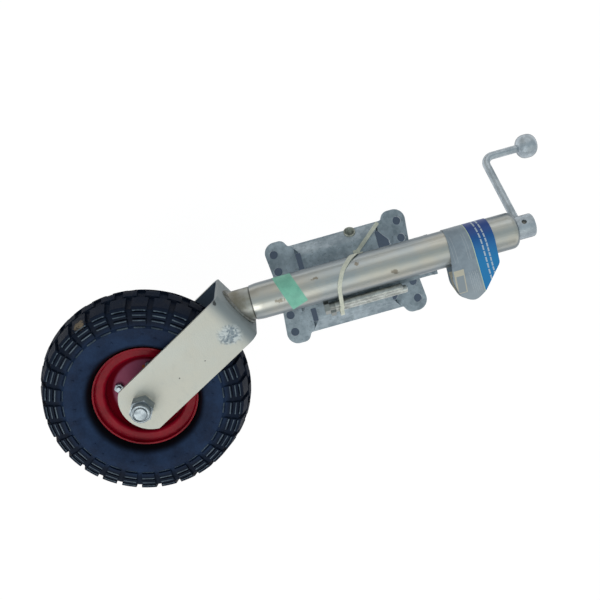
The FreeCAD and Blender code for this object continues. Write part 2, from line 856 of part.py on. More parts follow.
def rim_profile():
    """Section of one rim half, drawn as (radius, Y) on +Y."""
    t = rim_thickness
    seat = rim_seat_radius - t / 2
    path = flat([
        (hub_radius, t / 2),
        (rim_disc_radius, t / 2),
        (seat, rim_well_y),
        (seat, rim_flange_y + t / 2),
        (rim_lip_radius - t / 2, rim_flange_y + t / 2),
        (rim_lip_radius - t / 2, rim_flange_y + t + rim_lip),
    ])
    return strip(path, [disc_bend, well_bend, seat_bend, lip_bend], t)


def rim_half(side):
    """Pressed half of the rim on one side of the wheel: disc, bead seat and rolled flange."""
    half = rim_profile().revolve(ORIGIN, Y_AXIS, 360)
    for i in range(rim_bolt_count):
        x, z = on_circle(rim_bolt_circle, i, rim_bolt_count)
        half = half.cut(cylinder(rim_bolt_radius, 20, Vector(x, -5, z), Y_AXIS))
    if side < 0:
        half = half.mirror(ORIGIN, Y_AXIS)
        half = half.cut(cylinder(valve_radius, valve_length + 6, valve_base(), Y_AXIS * -1))
    return at_wheel(half)


def on_circle(radius, index, count):
    angle = math.radians(rim_bolt_turn + 360.0 * index / count)
    return radius * math.cos(angle), radius * math.sin(angle)


def valve_base():
    """Foot of the valve, in the well of the rim, on the side that the cheek hides."""
    return Vector(0, -3.5, valve_circle)


def valve_stem():
    foot = valve_base()
    cap_radius = valve_radius - 1.0
    stem = cylinder(valve_radius, valve_length - 9, foot, Y_AXIS * -1)
    neck = cylinder(cap_radius, 10, foot - Vector(0, valve_length - 10, 0), Y_AXIS * -1)
    end = foot.y - valve_length
    rim_edges = [e for e in neck.Edges if e.BoundBox.YMax < end + 0.01]
    return at_wheel(joined([stem, neck.makeFillet(1.0, rim_edges)]))


def rim_bolts():
    bolts = []
    reach = rim_thickness + rim_nut_height + rim_bolt_end
    for i in range(rim_bolt_count):
        x, z = on_circle(rim_bolt_circle, i, rim_bolt_count)
        shank = cylinder(rim_bolt_radius, rim_thickness + reach, Vector(x, -reach, z), Y_AXIS)
        head = prism(rim_nut_flats, 4.0, Vector(x, rim_thickness, z), Y_AXIS)
        bolts.append(at_wheel(joined([shank, head])))
    return Part.makeCompound(bolts)


def rim_nuts():
    nuts = []
    for i in range(rim_bolt_count):
        x, z = on_circle(rim_bolt_circle, i, rim_bolt_count)
        base = Vector(x, -rim_thickness, z)
        nut = prism(rim_nut_flats, rim_nut_height, base, Y_AXIS * -1)
        nuts.append(at_wheel(nut.cut(cylinder(rim_bolt_radius, 20, base, Y_AXIS * -1))))
    return Part.makeCompound(nuts)


def tyre_side(inset):
    """Corners (radius, Y) up one side of the tyre, with their roundings. inset sinks the tread."""
    half = tyre_width / 2
    sunk = inset * side_sink
    bare = tyre_radius - side_rib - 1.5 - rim_lip_radius
    return [
        (rim_seat_radius, rim_flange_y, seat_bend),
        (rim_lip_radius + bead_clear, rim_flange_y, 0),
        (rim_lip_radius + bead_clear, rim_flange_y + lip_cover, 0),
        (rim_lip_radius + bare * side_foot, half * 0.86, min(8, bare * 0.27)),
        (rim_lip_radius + bare * side_bulge, half, min(20, bare * 0.67)),
        (tyre_radius - side_rib - 1.5, half, 0),
        (tyre_radius - side_rib + 1.0, half - sunk, 0),
        (tyre_radius - 19.5, half * 0.97 - sunk, 20),
        (tyre_radius - shoulder_drop - inset, shoulder_y - sunk / 2, 3),
    ]


def tyre_section(inset):
    """Closed section of the tyre's rubber, both sides, as one (radius, Y) face."""
    side = tyre_side(inset)
    crown = (tyre_radius + crown_rise - inset, 0, crown_round)
    corners = side + [crown] + [(r, -y, round_off) for r, y, round_off in reversed(side)]
    return rounded(flat([(r, y) for r, y, _ in corners]), [round_off for _, _, round_off in corners])


def air_section(grow):
    """Section of the space in the tyre, grown by grow all round."""
    low, high = air_radius - air_height - grow, air_radius + air_height + grow
    half = air_half_y + grow
    return rounded(flat([(low, -half), (high, -half), (high, half), (low, half)]), [air_round + grow] * 4)


def lug_section(low, high, y_from, y_to):
    """Section of the rubber that stands above the grooves, between two radii and two Y values."""
    box = polygon([(low, y_from), (high, y_from), (high, y_to), (low, y_to)])
    return tyre_section(0).common(box).cut(tyre_section(tread_depth + tread_root))


def lug_ring(section, share, shift):
    """One row of lugs round the tyre, each filling its share of the pitch."""
    pitch = 360.0 / tread_count
    angle = pitch * share
    row = []
    for i in range(tread_count):
        lug = section.rotated(ORIGIN, Y_AXIS, pitch * (i + shift) - angle / 2)
        row.append(lug.revolve(ORIGIN, Y_AXIS, angle))
    return row


def tread_rows():
    """Rows of lugs: one beside the middle, one over the shoulder and two down the side, on both sides."""
    lugs = []
    beyond = tyre_radius + crown_rise
    for side in (-1, 1):
        shift = lug_shift if side < 0 else lug_shift + 0.5
        for low, high, y_near, y_far, share, turn in (
            (tyre_radius - shoulder_row_low, beyond, crown_row_from, crown_row_to, crown_share, 0.5),
            (tyre_radius - shoulder_row_low, beyond, shoulder_row_from, tyre_width, 1.0, 0.0),
            (tyre_radius - panel_row_low, tyre_radius - panel_row_high, side_rows_from, tyre_width, 1.0, 0.0),
            (tyre_radius - bar_row_low, tyre_radius - bar_row_high, side_rows_from, tyre_width, 1.0, 0.0),
        ):
            section = lug_section(low, high, *sorted((side * y_near, side * y_far)))
            lugs += lug_ring(section, lug_share * share, shift + turn)
    return lugs


def tyre():
    """Carcass with an open bead, and rows of tread lugs standing on it."""
    carcass = tyre_section(tread_depth).revolve(ORIGIN, Y_AXIS, 360)
    carcass = carcass.cut(air_section(slide_gap).revolve(ORIGIN, Y_AXIS, 360))
    above, below = air_radius - air_height + 6, rim_seat_radius - 5
    gap = pipe(above, below, 2 * bead_gap, Vector(0, -bead_gap, 0), Y_AXIS)
    carcass = carcass.cut(gap)
    return at_wheel(carcass.multiFuse(tread_rows()).Solids[0])


def air_tube():
    outer = air_section(0).revolve(ORIGIN, Y_AXIS, 360)
    inner = air_section(-air_wall).revolve(ORIGIN, Y_AXIS, 360)
    return at_wheel(outer.cut(inner))


def at_crank(shape):
    """From the crank's frame, with its arm along +X, to the jack's frame."""
    return at_tube(shape.rotated(ORIGIN, Z_AXIS, 180 - crank_turn))


def crank_hub():
    body = cylinder(hub_outer, hub_height, Vector(0, 0, hub_bottom))
    top_edge = [e for e in body.Edges if e.BoundBox.ZMin > hub_bottom + hub_height - 0.01]
    body = body.makeFillet(hub_edge, top_edge)
    bore = cylinder(screw_radius, hub_height - 1.5, Vector(0, 0, hub_bottom))
    hole = cylinder(cross_pin_radius, 40, Vector(0, -20, tube_top + cross_pin_above_tube), Y_AXIS)
    return at_crank(body.cut(bore).cut(arm_rod()).cut(hole))


def cross_pin_shape():
    """The pin's hole through the screw, in the tube's frame."""
    hole = cylinder(cross_pin_radius, 40, Vector(0, -20, tube_top + cross_pin_above_tube), Y_AXIS)
    return hole.rotated(ORIGIN, Z_AXIS, 180 - crank_turn)


def cross_pin():
    half = hub_outer - cross_pin_sunk
    pin = cylinder(cross_pin_radius, 2 * half, Vector(0, -half, tube_top + cross_pin_above_tube), Y_AXIS)
    return at_crank(pin)


def arm_rod():
    """Rod from the hub, sloping down to its bend and then up to carry the knob, in the crank's frame."""
    level = tube_top + arm_above_tube
    start = screw_radius + 1.5
    top = level + knob_middle - knob_grip
    points = flat([(start, level), (arm_reach, level - arm_droop), (arm_reach, top)])
    path = upright(Part.Wire(offset_edges(points, [arm_bend], 0.0)))
    along = unit(Vector(arm_reach - start, 0, -arm_droop))
    section = Part.Wire([Part.Circle(Vector(start, 0, level), along, arm_radius).toShape()])
    return path.makePipeShell([section], True, False)


def crank_arm():
    return at_crank(arm_rod())


def crank_knob():
    """Flattened steel ball on the end of the rod."""
    level = tube_top + arm_above_tube + knob_middle
    low, high = level - knob_half_height, level + knob_half_height
    profile = rounded(
        flat([(0, low), (knob_radius, low), (knob_radius, high), (0, high)]), [0, knob_round, knob_round, 0]
    )
    shape = about_z(profile)
    shape.translate(Vector(arm_reach, 0, 0))
    return at_crank(shape.cut(arm_rod()))


def belt(near, near_radius, far, far_radius):
    """Face round two circles in XY, closed by their outer tangents."""
    line = far - near
    angle = math.atan2(line.y, line.x)
    lean = math.acos((near_radius - far_radius) / line.Length)
    edges = []
    ends = []
    for hand in (1, -1):
        out = Vector(math.cos(angle + hand * lean), math.sin(angle + hand * lean), 0)
        ends.append((near + out * near_radius, far + out * far_radius))
        edges.append(Part.LineSegment(*ends[-1]).toShape())
    along = unit(line)
    edges.append(arc(ends[0][1], far + along * far_radius, ends[1][1]))
    edges.append(arc(ends[0][0], near - along * near_radius, ends[1][0]))
    return Part.Face(Part.Wire(Part.__sortEdges__(edges)))


def belt_wall(far, far_radius, gap, thickness, z_from, z_to):
    """Thin wall round the tube and a second circle beside it, between two heights."""
    near = Vector(0, tube_y, 0)
    inner = belt(near, tube_radius + gap, far, far_radius)
    outer = belt(near, tube_radius + gap + thickness, far, far_radius + thickness)
    wall = outer.cut(inner).extrude(Vector(0, 0, z_to - z_from))
    wall.translate(Vector(0, 0, z_from))
    return wall


def strap_bundle():
    """Circle that both loose bolts fit in, as its middle and radius, so that the strap clears the saddle."""
    radius = bolt_pitch / 2 + bolt_radius + wrap_gap
    back = saddle_front - wrap_gap - strap_thickness
    return Vector(bolt_bundle_x, back - radius, 0), radius


def bolt_centres():
    """Middles of the two loose bolts in the XY plane, the first one nearer the bracket."""
    middle, _ = strap_bundle()
    side = Vector(bolt_slant_x, math.sqrt(bolt_pitch ** 2 - bolt_slant_x ** 2), 0) * 0.5
    return [middle + side, middle - side]


def mounting_bolts():
    """Two hexagon bolts side by side beside the tube, one head below the other."""
    bolts = []
    for i, centre in enumerate(bolt_centres()):
        under_head = centre + Vector(0, 0, bolt_bottom_z - i * (bolt_head + slide_gap))
        shank = cylinder(bolt_radius, bolt_length, under_head)
        tip = [e for e in shank.Edges if e.BoundBox.ZMin > under_head.z + bolt_length - 0.01]
        head = prism(bolt_flats, bolt_head, under_head, Z_AXIS * -1)
        bolts.append(joined([shank.makeChamfer(bolt_chamfer, tip), head]))
    return Part.makeCompound(bolts)


def cable_tie():
    """Nylon strap round the tube and the bolts, with its head on the -X side and its tail lying up."""
    centre, radius = strap_bundle()
    low, high = -60.0, 80.0
    wall = belt_wall(centre, radius, wrap_gap, strap_thickness, low, high)
    front = sheet_along_y(strip(flat(strap_front), strap_front_bends, strap_width), -100, tube_y)
    back = sheet_along_y(strip(flat(strap_back), strap_back_bends, strap_width), tube_y, -10)
    loop = joined([wall.common(front), wall.common(back)])
    head_x = -(tube_radius + wrap_gap + strap_thickness)
    head_foot = Vector(head_x - strap_head.x + 1.0, tube_y + 4.0, strap_head_z)
    head = Part.makeBox(strap_head.x, strap_head.y, strap_head.z, head_foot)
    tail_from = Vector(head_x - 1.5, strap_tail_from_z, 0)
    tail_to = Vector(strap_tail_x, strap_tail_z, 0)
    tail_y = hat_front - slide_gap - strap_thickness - 0.5
    tail = sheet_along_y(strip([tail_from, tail_to], [], strap_width), tail_y, tail_y + strap_thickness)
    neck_y = tube_y + 5.0
    neck_reach = tail_y + strap_thickness - neck_y
    neck = Part.makeBox(3.0, neck_reach, strap_width, Vector(head_x - 3.0, neck_y, strap_head_z + 2.0))
    return joined([loop, head, neck, tail])


def card_tag():
    """Card folded round the tube, its two flaps meeting on +X."""
    outline = rounded(flat(tag_outline), tag_corners)
    tip = Vector(tag_tip_x + 2, tube_y + 4.0, 0)
    wall = belt_wall(tip, 0.3, wrap_gap, card_thickness, tag_low_z, tag_high_z)
    return wall.common(sheet_along_y(outline, -150, 0)).Solids[0]


def green_tape():
    """Strip of tape across the front of the tube."""
    outline = polygon(tape_outline)
    shell = pipe(tube_radius + tape_thickness, tube_radius, 60, Vector(0, 0, -110))
    front = sheet_along_y(outline, -100, tube_y)
    return at_tube(shell).common(front).Solids[0]


def write(name, shape):
    os.makedirs("parts", exist_ok=True)
    shape.exportStep(os.path.join("parts", name + ".step"))
    solids = len(shape.Solids)
    print(f"{name}: {solids} solid(s), {shape.Volume / 1000:.2f} cm3, valid {shape.isValid()}")


PIECES = {
    "bracket_plate": bracket_plate,
    "clamp_plate": clamp_plate,
    "lock_barrel": lock_barrel,
    "lock_pin": lock_pin,
    "pivot_drum": pivot_drum,
    "saddle": saddle,
    "saddle_welds": saddle_welds,
    "outer_tube": outer_tube,
    "top_bearing_cup": top_bearing_cup,
    "thrust_washer": thrust_washer,
    "lead_screw": lead_screw,
    "screw_nut": screw_nut,
    "nut_seat_ring": nut_seat_ring,
    "nut_keeper_ring": nut_keeper_ring,
    "ram_tube": ram_tube,
    "fork": fork,
    "fork_weld": fork_weld,
    "axle_bolt": axle_bolt,
    "axle_nut": axle_nut,
    "axle_washers": axle_washers,
    "axle_sleeve": axle_sleeve,
    "hub_spacers": hub_spacers,
    "wheel_hub": wheel_hub,
    "wheel_bearings": wheel_bearings,
    "rim_outer": lambda: rim_half(-1),
    "rim_inner": lambda: rim_half(1),
    "rim_bolts": rim_bolts,
    "rim_nuts": rim_nuts,
    "valve_stem": valve_stem,
    "tyre": tyre,
    "air_tube": air_tube,
    "crank_hub": crank_hub,
    "crank_arm": crank_arm,
    "crank_knob": crank_knob,
    "cross_pin": cross_pin,
    "mounting_bolts": mounting_bolts,
    "cable_tie": cable_tie,
    "card_tag": card_tag,
    "green_tape": green_tape,
}

for piece, build in PIECES.items():
    write(piece, build())
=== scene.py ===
# %% [markdown]
# # A trailer jack, dressed for its picture
#
# The solid model of the jack comes in packed, as a fixed frame of named nodes on named bodies. This lesson gives
# each of them its finish, and adds the fine forms that a solid model leaves plain: screw threads, weld ripples and
# the marks on the tyre's side. Everything is in metres and stays where the frame puts it.

# %% Load the frame
import math

import bpy
from mathutils import Matrix, Vector
from mathutils.bvhtree import BVHTree


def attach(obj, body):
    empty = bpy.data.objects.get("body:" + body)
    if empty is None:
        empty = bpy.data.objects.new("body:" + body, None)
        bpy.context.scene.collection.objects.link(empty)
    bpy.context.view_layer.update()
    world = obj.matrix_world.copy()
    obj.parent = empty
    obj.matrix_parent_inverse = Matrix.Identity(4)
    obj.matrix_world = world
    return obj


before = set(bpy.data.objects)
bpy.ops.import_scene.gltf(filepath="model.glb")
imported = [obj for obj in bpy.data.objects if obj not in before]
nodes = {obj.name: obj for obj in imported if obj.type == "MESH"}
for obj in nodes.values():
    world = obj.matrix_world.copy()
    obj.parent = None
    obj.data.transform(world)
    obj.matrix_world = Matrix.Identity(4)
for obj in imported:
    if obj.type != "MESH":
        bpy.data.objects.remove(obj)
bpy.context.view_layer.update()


# %% [markdown]
# ## Places on the jack
#
# The tube stands on Z in front of the bracket. The castor is turned about the tube, and its fork leans, so anything
# on the wheel is first made round an upright Y axle and then moved there by one matrix.

# %% Frames of the tube and the wheel
TUBE_Y = -0.054
CASTER_TURN = math.radians(17.0)
FORK_LEAN = math.radians(28.8)
FORK_ROOT_Z = -0.1375
AXLE_IN_FORK = Vector((-0.004, 0.0, -0.155))

to_tube = Matrix.Translation((0, TUBE_Y, 0))
to_caster = to_tube @ Matrix.Rotation(CASTER_TURN, 4, "Z")
to_fork = to_caster @ Matrix.Translation((0, 0, FORK_ROOT_Z)) @ Matrix.Rotation(-FORK_LEAN, 4, "Y")
to_wheel = to_fork @ Matrix.Translation(AXLE_IN_FORK)
axle_way = to_wheel.to_3x3() @ Vector((0, 1, 0))
fork_up = to_fork.to_3x3() @ Vector((0, 0, 1))
print("wheel's middle:", [round(v, 4) for v in to_wheel.translation])


# %% [markdown]
# ## Small helpers for shader nodes
#
# A node tree in code is long when each socket takes a line. One helper adds a node, sets its options, and either
# links or fills its inputs by name. The others are short names for the nodes that come up most.

# %% Node helpers
def linear(red, green, blue):
    """An sRGB colour from 0 to 255, as the linear colour that a shader takes."""
    def channel(value):
        value /= 255.0
        return value / 12.92 if value <= 0.04045 else ((value + 0.055) / 1.055) ** 2.4
    return (channel(red), channel(green), channel(blue), 1.0)


def add_node(tree, kind, options=(), inputs=()):
    """Adds a node. Inputs are pairs of socket name or number, and a value or a socket to link."""
    node = tree.nodes.new(kind)
    for name, value in dict(options).items():
        setattr(node, name, value)
    for key, value in dict(inputs).items():
        if isinstance(value, bpy.types.NodeSocket):
            tree.links.new(value, node.inputs[key])
        else:
            node.inputs[key].default_value = value
    return node


def math_node(tree, operation, first, second=0.0):
    """Works on one or two numbers."""
    return add_node(tree, "ShaderNodeMath", {"operation": operation}, {0: first, 1: second}).outputs[0]


def vector_math(tree, operation, *vectors):
    """Works on whole vectors. Returns the node, whose result is in its Vector or its Value."""
    return add_node(tree, "ShaderNodeVectorMath", {"operation": operation}, dict(enumerate(vectors)))


def split(tree, vector):
    """The X, Y and Z of a vector, by their names."""
    return add_node(tree, "ShaderNodeSeparateXYZ", {}, {0: vector}).outputs


def mix_colour(tree, factor, first, second):
    """The first colour where the factor is 0, and the second where it is 1."""
    node = add_node(tree, "ShaderNodeMix", {"data_type": "RGBA"}, {0: factor, 6: first, 7: second})
    return node.outputs[2]


def spread(tree, value, low, high, to_low=0.0, to_high=1.0):
    """Stretches a value from one range to another, smoothly and without leaving it."""
    limits = {0: value, 1: low, 2: high, 3: to_low, 4: to_high}
    return add_node(tree, "ShaderNodeMapRange", {"interpolation_type": "SMOOTHSTEP"}, limits).outputs[0]


def noise(tree, place, scale, detail, roughness=0.5, distortion=0.0):
    """Soft random values from 0 to 1."""
    return add_node(tree, "ShaderNodeTexNoise", {}, {
        "Vector": place, "Scale": scale, "Detail": detail, "Roughness": roughness,
        "Distortion": distortion}).outputs[0]


def new_group(name, inputs, outputs):
    """An empty shader group with named sockets. Returns its tree, its input node and its output node."""
    tree = bpy.data.node_groups.new(name, "ShaderNodeTree")
    for socket, kind, value in inputs:
        made = tree.interface.new_socket(socket, in_out="INPUT", socket_type=kind)
        if value is not None:
            made.default_value = value
    for socket, kind in outputs:
        tree.interface.new_socket(socket, in_out="OUTPUT", socket_type=kind)
    return tree, tree.nodes.new("NodeGroupInput"), tree.nodes.new("NodeGroupOutput")


def use_group(tree, group, **inputs):
    """Places a group in a material, with its own values for the named inputs."""
    named = {key.replace("_", " "): value for key, value in inputs.items()}
    return add_node(tree, "ShaderNodeGroup", {"node_tree": group}, named)


print("a middle grey of 128 is", round(linear(128, 128, 128)[0], 3), "in a shader")


# %% [markdown]
# ## Clouds and grain
#
# Zinc is never one colour: it clouds in patches of a few centimetres, and has a fine crystal grain. An image would
# hold both, but it would stretch on round parts and repeat on long ones. Noise for the clouds and Voronoi cells for
# the grain run on through the whole part. The effect is one group, built once and placed in every finish that needs
# it with other values.

# %% Clouds and grain
FLOAT, VECTOR, COLOUR = "NodeSocketFloat", "NodeSocketVector", "NodeSocketColor"

cloud_group, gin, gout = new_group(
    "clouded_grain",
    [("Place", VECTOR, None), ("Light", COLOUR, None), ("Dark", COLOUR, None), ("Cloud Scale", FLOAT, 40.0),
     ("Grain Scale", FLOAT, 400.0), ("Grain Share", FLOAT, 0.4)],
    [("Color", COLOUR), ("Mask", FLOAT), ("Height", FLOAT)],
)
clouds = noise(cloud_group, gin.outputs["Place"], gin.outputs["Cloud Scale"], 4.0, roughness=0.6)
grain = add_node(cloud_group, "ShaderNodeTexVoronoi", {"feature": "SMOOTH_F1"}, {
    "Vector": gin.outputs["Place"], "Scale": gin.outputs["Grain Scale"], "Smoothness": 0.6})
cloud_mask = spread(cloud_group, clouds, 0.32, 0.68)
grain_mask = add_node(cloud_group, "ShaderNodeSeparateColor", {}, {0: grain.outputs["Color"]}).outputs[0]
both = add_node(cloud_group, "ShaderNodeMix", {"data_type": "FLOAT"}, {
    0: gin.outputs["Grain Share"], 2: cloud_mask, 3: grain_mask}).outputs[0]
cloud_group.links.new(mix_colour(cloud_group, both, gin.outputs["Dark"], gin.outputs["Light"]), gout.inputs["Color"])
cloud_group.links.new(both, gout.inputs["Mask"])
cloud_group.links.new(grain.outputs["Distance"], gout.inputs["Height"])
print("group:", cloud_group.name)

# %% [markdown]
# ## Scratches
#
# Drawn tube and dragged steel carry lines that all run one way. Noise gives them when its place is stretched across
# that way, and the Cover input says how much of the surface they take.

# %% Scratches
scratch_group, gin, gout = new_group(
    "long_scratches",
    [("Place", VECTOR, None), ("Stretch", VECTOR, (300.0, 300.0, 12.0)), ("Cover", FLOAT, 0.35)],
    [("Mask", FLOAT), ("Height", FLOAT)],
)
stretched = vector_math(scratch_group, "MULTIPLY", gin.outputs["Place"], gin.outputs["Stretch"]).outputs["Vector"]
lines = noise(scratch_group, stretched, 1.0, 5.0, roughness=0.7)
edge = math_node(scratch_group, "SUBTRACT", 1.0, gin.outputs["Cover"])
scratches = spread(scratch_group, math_node(scratch_group, "SUBTRACT", lines, edge), -0.12, 0.12)
scratch_group.links.new(scratches, gout.inputs["Mask"])
scratch_group.links.new(lines, gout.inputs["Height"])
print("group:", scratch_group.name)

# %% [markdown]
# ## Blotches
#
# Dirt, rust and rubbed spots lie at known places on the real jack. A painted mask would need an image, so here the
# distance from a centre makes each spot, and noise breaks up its edge.

# %% Blotches
blotch_group, gin, gout = new_group(
    "ragged_blotch",
    [("Place", VECTOR, None), ("Centre", VECTOR, (0.0, 0.0, 0.0)), ("Reach", VECTOR, (0.01, 0.01, 0.01)),
     ("Ragged", FLOAT, 0.6)],
    [("Mask", FLOAT)],
)
offset = vector_math(blotch_group, "SUBTRACT", gin.outputs["Place"], gin.outputs["Centre"]).outputs["Vector"]
scaled = vector_math(blotch_group, "DIVIDE", offset, gin.outputs["Reach"]).outputs["Vector"]
distance = vector_math(blotch_group, "LENGTH", scaled).outputs["Value"]
rag = noise(blotch_group, gin.outputs["Place"], 220.0, 4.0, roughness=0.65)
rag = math_node(blotch_group, "MULTIPLY", math_node(blotch_group, "SUBTRACT", rag, 0.5), gin.outputs["Ragged"])
ragged = math_node(blotch_group, "ADD", distance, math_node(blotch_group, "MULTIPLY", rag, 2.5))
blotch_group.links.new(spread(blotch_group, ragged, 0.55, 1.05, 1.0, 0.0), gout.inputs["Mask"])
print("group:", blotch_group.name)


# %% [markdown]
# ## A finish and its parts
#
# Every finish here is one Principled shader over Object coordinates. What is the same all over is set on the
# shader's own sockets. What changes over the surface comes from the groups.

# %% An empty finish
COAT_ROUGHNESS = 0.08


def new_finish(name, metallic=0.0, roughness=0.5, coat=0.0, specular=0.5):
    """A material with its shader, ready for colour. Returns material, tree, shader and the place socket."""
    finish = bpy.data.materials.new(name)
    finish.use_nodes = True
    tree = finish.node_tree
    shader = tree.nodes["Principled BSDF"]
    for socket, value in (("Metallic", metallic), ("Roughness", roughness), ("Coat Weight", coat),
                          ("Coat Roughness", COAT_ROUGHNESS), ("Specular IOR Level", specular)):
        shader.inputs[socket].default_value = value
    place = add_node(tree, "ShaderNodeTexCoord").outputs["Object"]
    return finish, tree, shader, place


print("coats are", COAT_ROUGHNESS, "rough")


# %% [markdown]
# ## Laying colours
#
# A worn surface is painted from below: the clouds first, then each tint over what is there, as far as its mask
# reaches. Colours are written as sRGB from 0 to 255, as paint programs give them, and made linear here.

# %% Colour helpers
def clouded(tree, place, light, dark, cloud_scale, grain_scale, grain_share):
    """Places the clouds and grain in a finish, between two sRGB colours. Returns the group's node."""
    return use_group(tree, cloud_group, Place=place, Light=linear(*light), Dark=linear(*dark),
                     Cloud_Scale=cloud_scale, Grain_Scale=grain_scale, Grain_Share=grain_share)


def tint(tree, colour, mask, shade, share=1.0):
    """Lays an sRGB shade over a colour where a mask is 1, as strongly as the share says."""
    if share < 1.0:
        mask = math_node(tree, "MULTIPLY", mask, share)
    return mix_colour(tree, mask, colour, linear(*shade))


def blotches(tree, place, colour, shade, spots):
    """Lays ragged spots of one shade over a colour. Spots are a centre, a reach, and how ragged they are."""
    for centre, reach, ragged in spots:
        spot = use_group(tree, blotch_group, Place=place, Centre=centre, Reach=reach, Ragged=ragged)
        colour = tint(tree, colour, spot.outputs["Mask"], shade)
    return colour


print("colours are laid over", cloud_group.name, "with", blotch_group.name)


# %% [markdown]
# ## Wiring a finish
#
# Colour, roughness and bump each end in one socket of the shader. The finished material then goes on every node
# that wears it.

# %% Wiring helpers
def paint(tree, shader, colour):
    """Gives the shader its colour."""
    tree.links.new(colour, shader.inputs["Base Color"])


def sheen(tree, shader, value, at_low, at_high, low=0.0, high=1.0):
    """Lets the roughness follow a value, which is a mask from 0 to 1 when no limits are given."""
    tree.links.new(spread(tree, value, low, high, at_low, at_high), shader.inputs["Roughness"])


def bump(tree, shader, height, depth):
    """Raises the surface by a height map, its full depth given in metres."""
    node = add_node(tree, "ShaderNodeBump", {}, {"Height": height, "Distance": depth, "Strength": 1.0})
    tree.links.new(node.outputs[0], shader.inputs["Normal"])


def wear(finish, *names):
    """Gives CAD nodes their finish."""
    for name in names:
        mesh = nodes[name].data
        mesh.materials.clear()
        mesh.materials.append(finish)
    print("finish:", finish.name, "on", ", ".join(names))


# %% [markdown]
# ## Where a place is
#
# Colour follows the shape: a round part gets painted shade where it turns away from the eye, and a wheel changes by
# its radius. Masks made from distances along a line or from the axle need no painting, and they move with the part.

# %% Distances and edges
def along(tree, place, start, way):
    """How far a place is from a start along a way, in metres."""
    offset = vector_math(tree, "SUBTRACT", place, tuple(start)).outputs["Vector"]
    return vector_math(tree, "DOT_PRODUCT", offset, tuple(way)).outputs["Value"]


def wheel_radius(tree, place):
    """How far a place is from the axle's line."""
    middle = to_wheel.translation
    reach = vector_math(tree, "DISTANCE", place, tuple(middle)).outputs["Value"]
    beside = along(tree, place, middle, axle_way)
    square = math_node(tree, "SUBTRACT", math_node(tree, "POWER", reach, 2.0),
                       math_node(tree, "MULTIPLY", beside, beside))
    return math_node(tree, "SQRT", square)


def edge_darkness(tree, low, high):
    """How far a surface turns away from the eye, from 0 to 1."""
    facing = add_node(tree, "ShaderNodeLayerWeight", {}, {"Blend": 0.5}).outputs["Facing"]
    return spread(tree, facing, low, high)


print("the axle runs along", [round(v, 3) for v in axle_way])


# %% [markdown]
# ## Bright zinc on the outer tube
#
# The outer tube is zinc, drawn lengthwise, so fine lines run along Z and stretch every highlight. Long patches lean
# warm or blue, and there is a little dirt where it was handled. One even grey would look like plastic, so clouds,
# scratches and blotches are laid over each other, and the sides of the round get painted shade where they turn away
# from the eye.

# %% Bright zinc
zinc, tree, shader, place = new_finish("bright_zinc", metallic=0.8, roughness=0.36)
cloud = clouded(tree, place, (198, 196, 186), (178, 187, 191), 16.0, 900.0, 0.12)
lines = use_group(tree, scratch_group, Place=place, Stretch=(260.0, 260.0, 9.0), Cover=0.42)
colour = tint(tree, cloud.outputs["Color"], lines.outputs["Mask"], (146, 147, 140), 0.22)
colour = blotches(tree, place, colour, (144, 139, 128), [
    ((0.0103, -0.0737, 0.0529), (0.0034, 0.0040, 0.0044), 1.2),
    ((-0.0110, -0.0733, 0.0120), (0.0022, 0.0050, 0.0034), 1.2),
    ((-0.0080, -0.0750, -0.0400), (0.0018, 0.0050, 0.0060), 1.2),
    ((0.0060, -0.0760, -0.0860), (0.0034, 0.0050, 0.0070), 1.4),
])
# Painted shade: the tube's colour darkens where its surface turns away from the eye.
colour = tint(tree, colour, edge_darkness(tree, 0.28, 0.62), (112, 122, 128))
paint(tree, shader, colour)
sheen(tree, shader, lines.outputs["Mask"], 0.32, 0.48)
bump(tree, shader, lines.outputs["Height"], 0.00012)
wear(zinc, "outer_tube")

# %% [markdown]
# ## Greased zinc on the inner tube
#
# The inner tube is duller, and brown with old grease near the fork. Where it slides out of the other tube, a narrow
# ring of painted shadow lies at the mouth. Both go by the height on the tube. The ring is kept narrow, because it
# moves out with the tube. Its sides get painted shade where they turn away from the eye.

# %% Greased zinc
TUBE_MOUTH_Z = -0.119
ram_zinc, tree, shader, place = new_finish("greased_zinc", metallic=0.6, roughness=0.46)
cloud = clouded(tree, place, (178, 182, 180), (146, 146, 134), 60.0, 900.0, 0.15)
height = split(tree, place)["Z"]
grease = spread(tree, height, TUBE_MOUTH_Z, TUBE_MOUTH_Z - 0.015)
colour = tint(tree, cloud.outputs["Color"], grease, (116, 104, 86), 0.35)
# Painted shadow: a dark ring on the inner tube just below the outer tube's mouth.
mouth_shadow = math_node(tree, "MULTIPLY", spread(tree, height, TUBE_MOUTH_Z - 0.0025, TUBE_MOUTH_Z - 0.0005),
                  spread(tree, height, TUBE_MOUTH_Z + 0.003, TUBE_MOUTH_Z + 0.006, 0.85, 0.0))
colour = tint(tree, colour, mouth_shadow, (48, 50, 50))
# Painted shade: the tube's colour darkens where its surface turns away from the eye.
colour = tint(tree, colour, edge_darkness(tree, 0.55, 0.92), (96, 100, 100))
paint(tree, shader, colour)
sheen(tree, shader, cloud.outputs["Mask"], 0.56, 0.42)
wear(ram_zinc, "ram_tube")

# %% [markdown]
# ## Cool zinc on the crank
#
# The crank is a bent bar with a turned ball, and its zinc is cooler than the tube's. Its clouds are small, so that
# they still show on a thin bar, and the grain is raised a little, as on a part that was dipped.

# %% Crank zinc
crank_zinc, tree, shader, place = new_finish("crank_zinc", metallic=0.7, roughness=0.42)
cloud = clouded(tree, place, (196, 206, 214), (160, 171, 180), 70.0, 600.0, 0.3)
# Painted shade: the bar and the ball darken where their surface turns away from the eye.
paint(tree, shader, tint(tree, cloud.outputs["Color"], edge_darkness(tree, 0.55, 0.92), (98, 108, 116)))
sheen(tree, shader, cloud.outputs["Mask"], 0.50, 0.36)
bump(tree, shader, cloud.outputs["Height"], 0.0002)
wear(crank_zinc, "crank_hub", "crank_arm", "crank_knob")
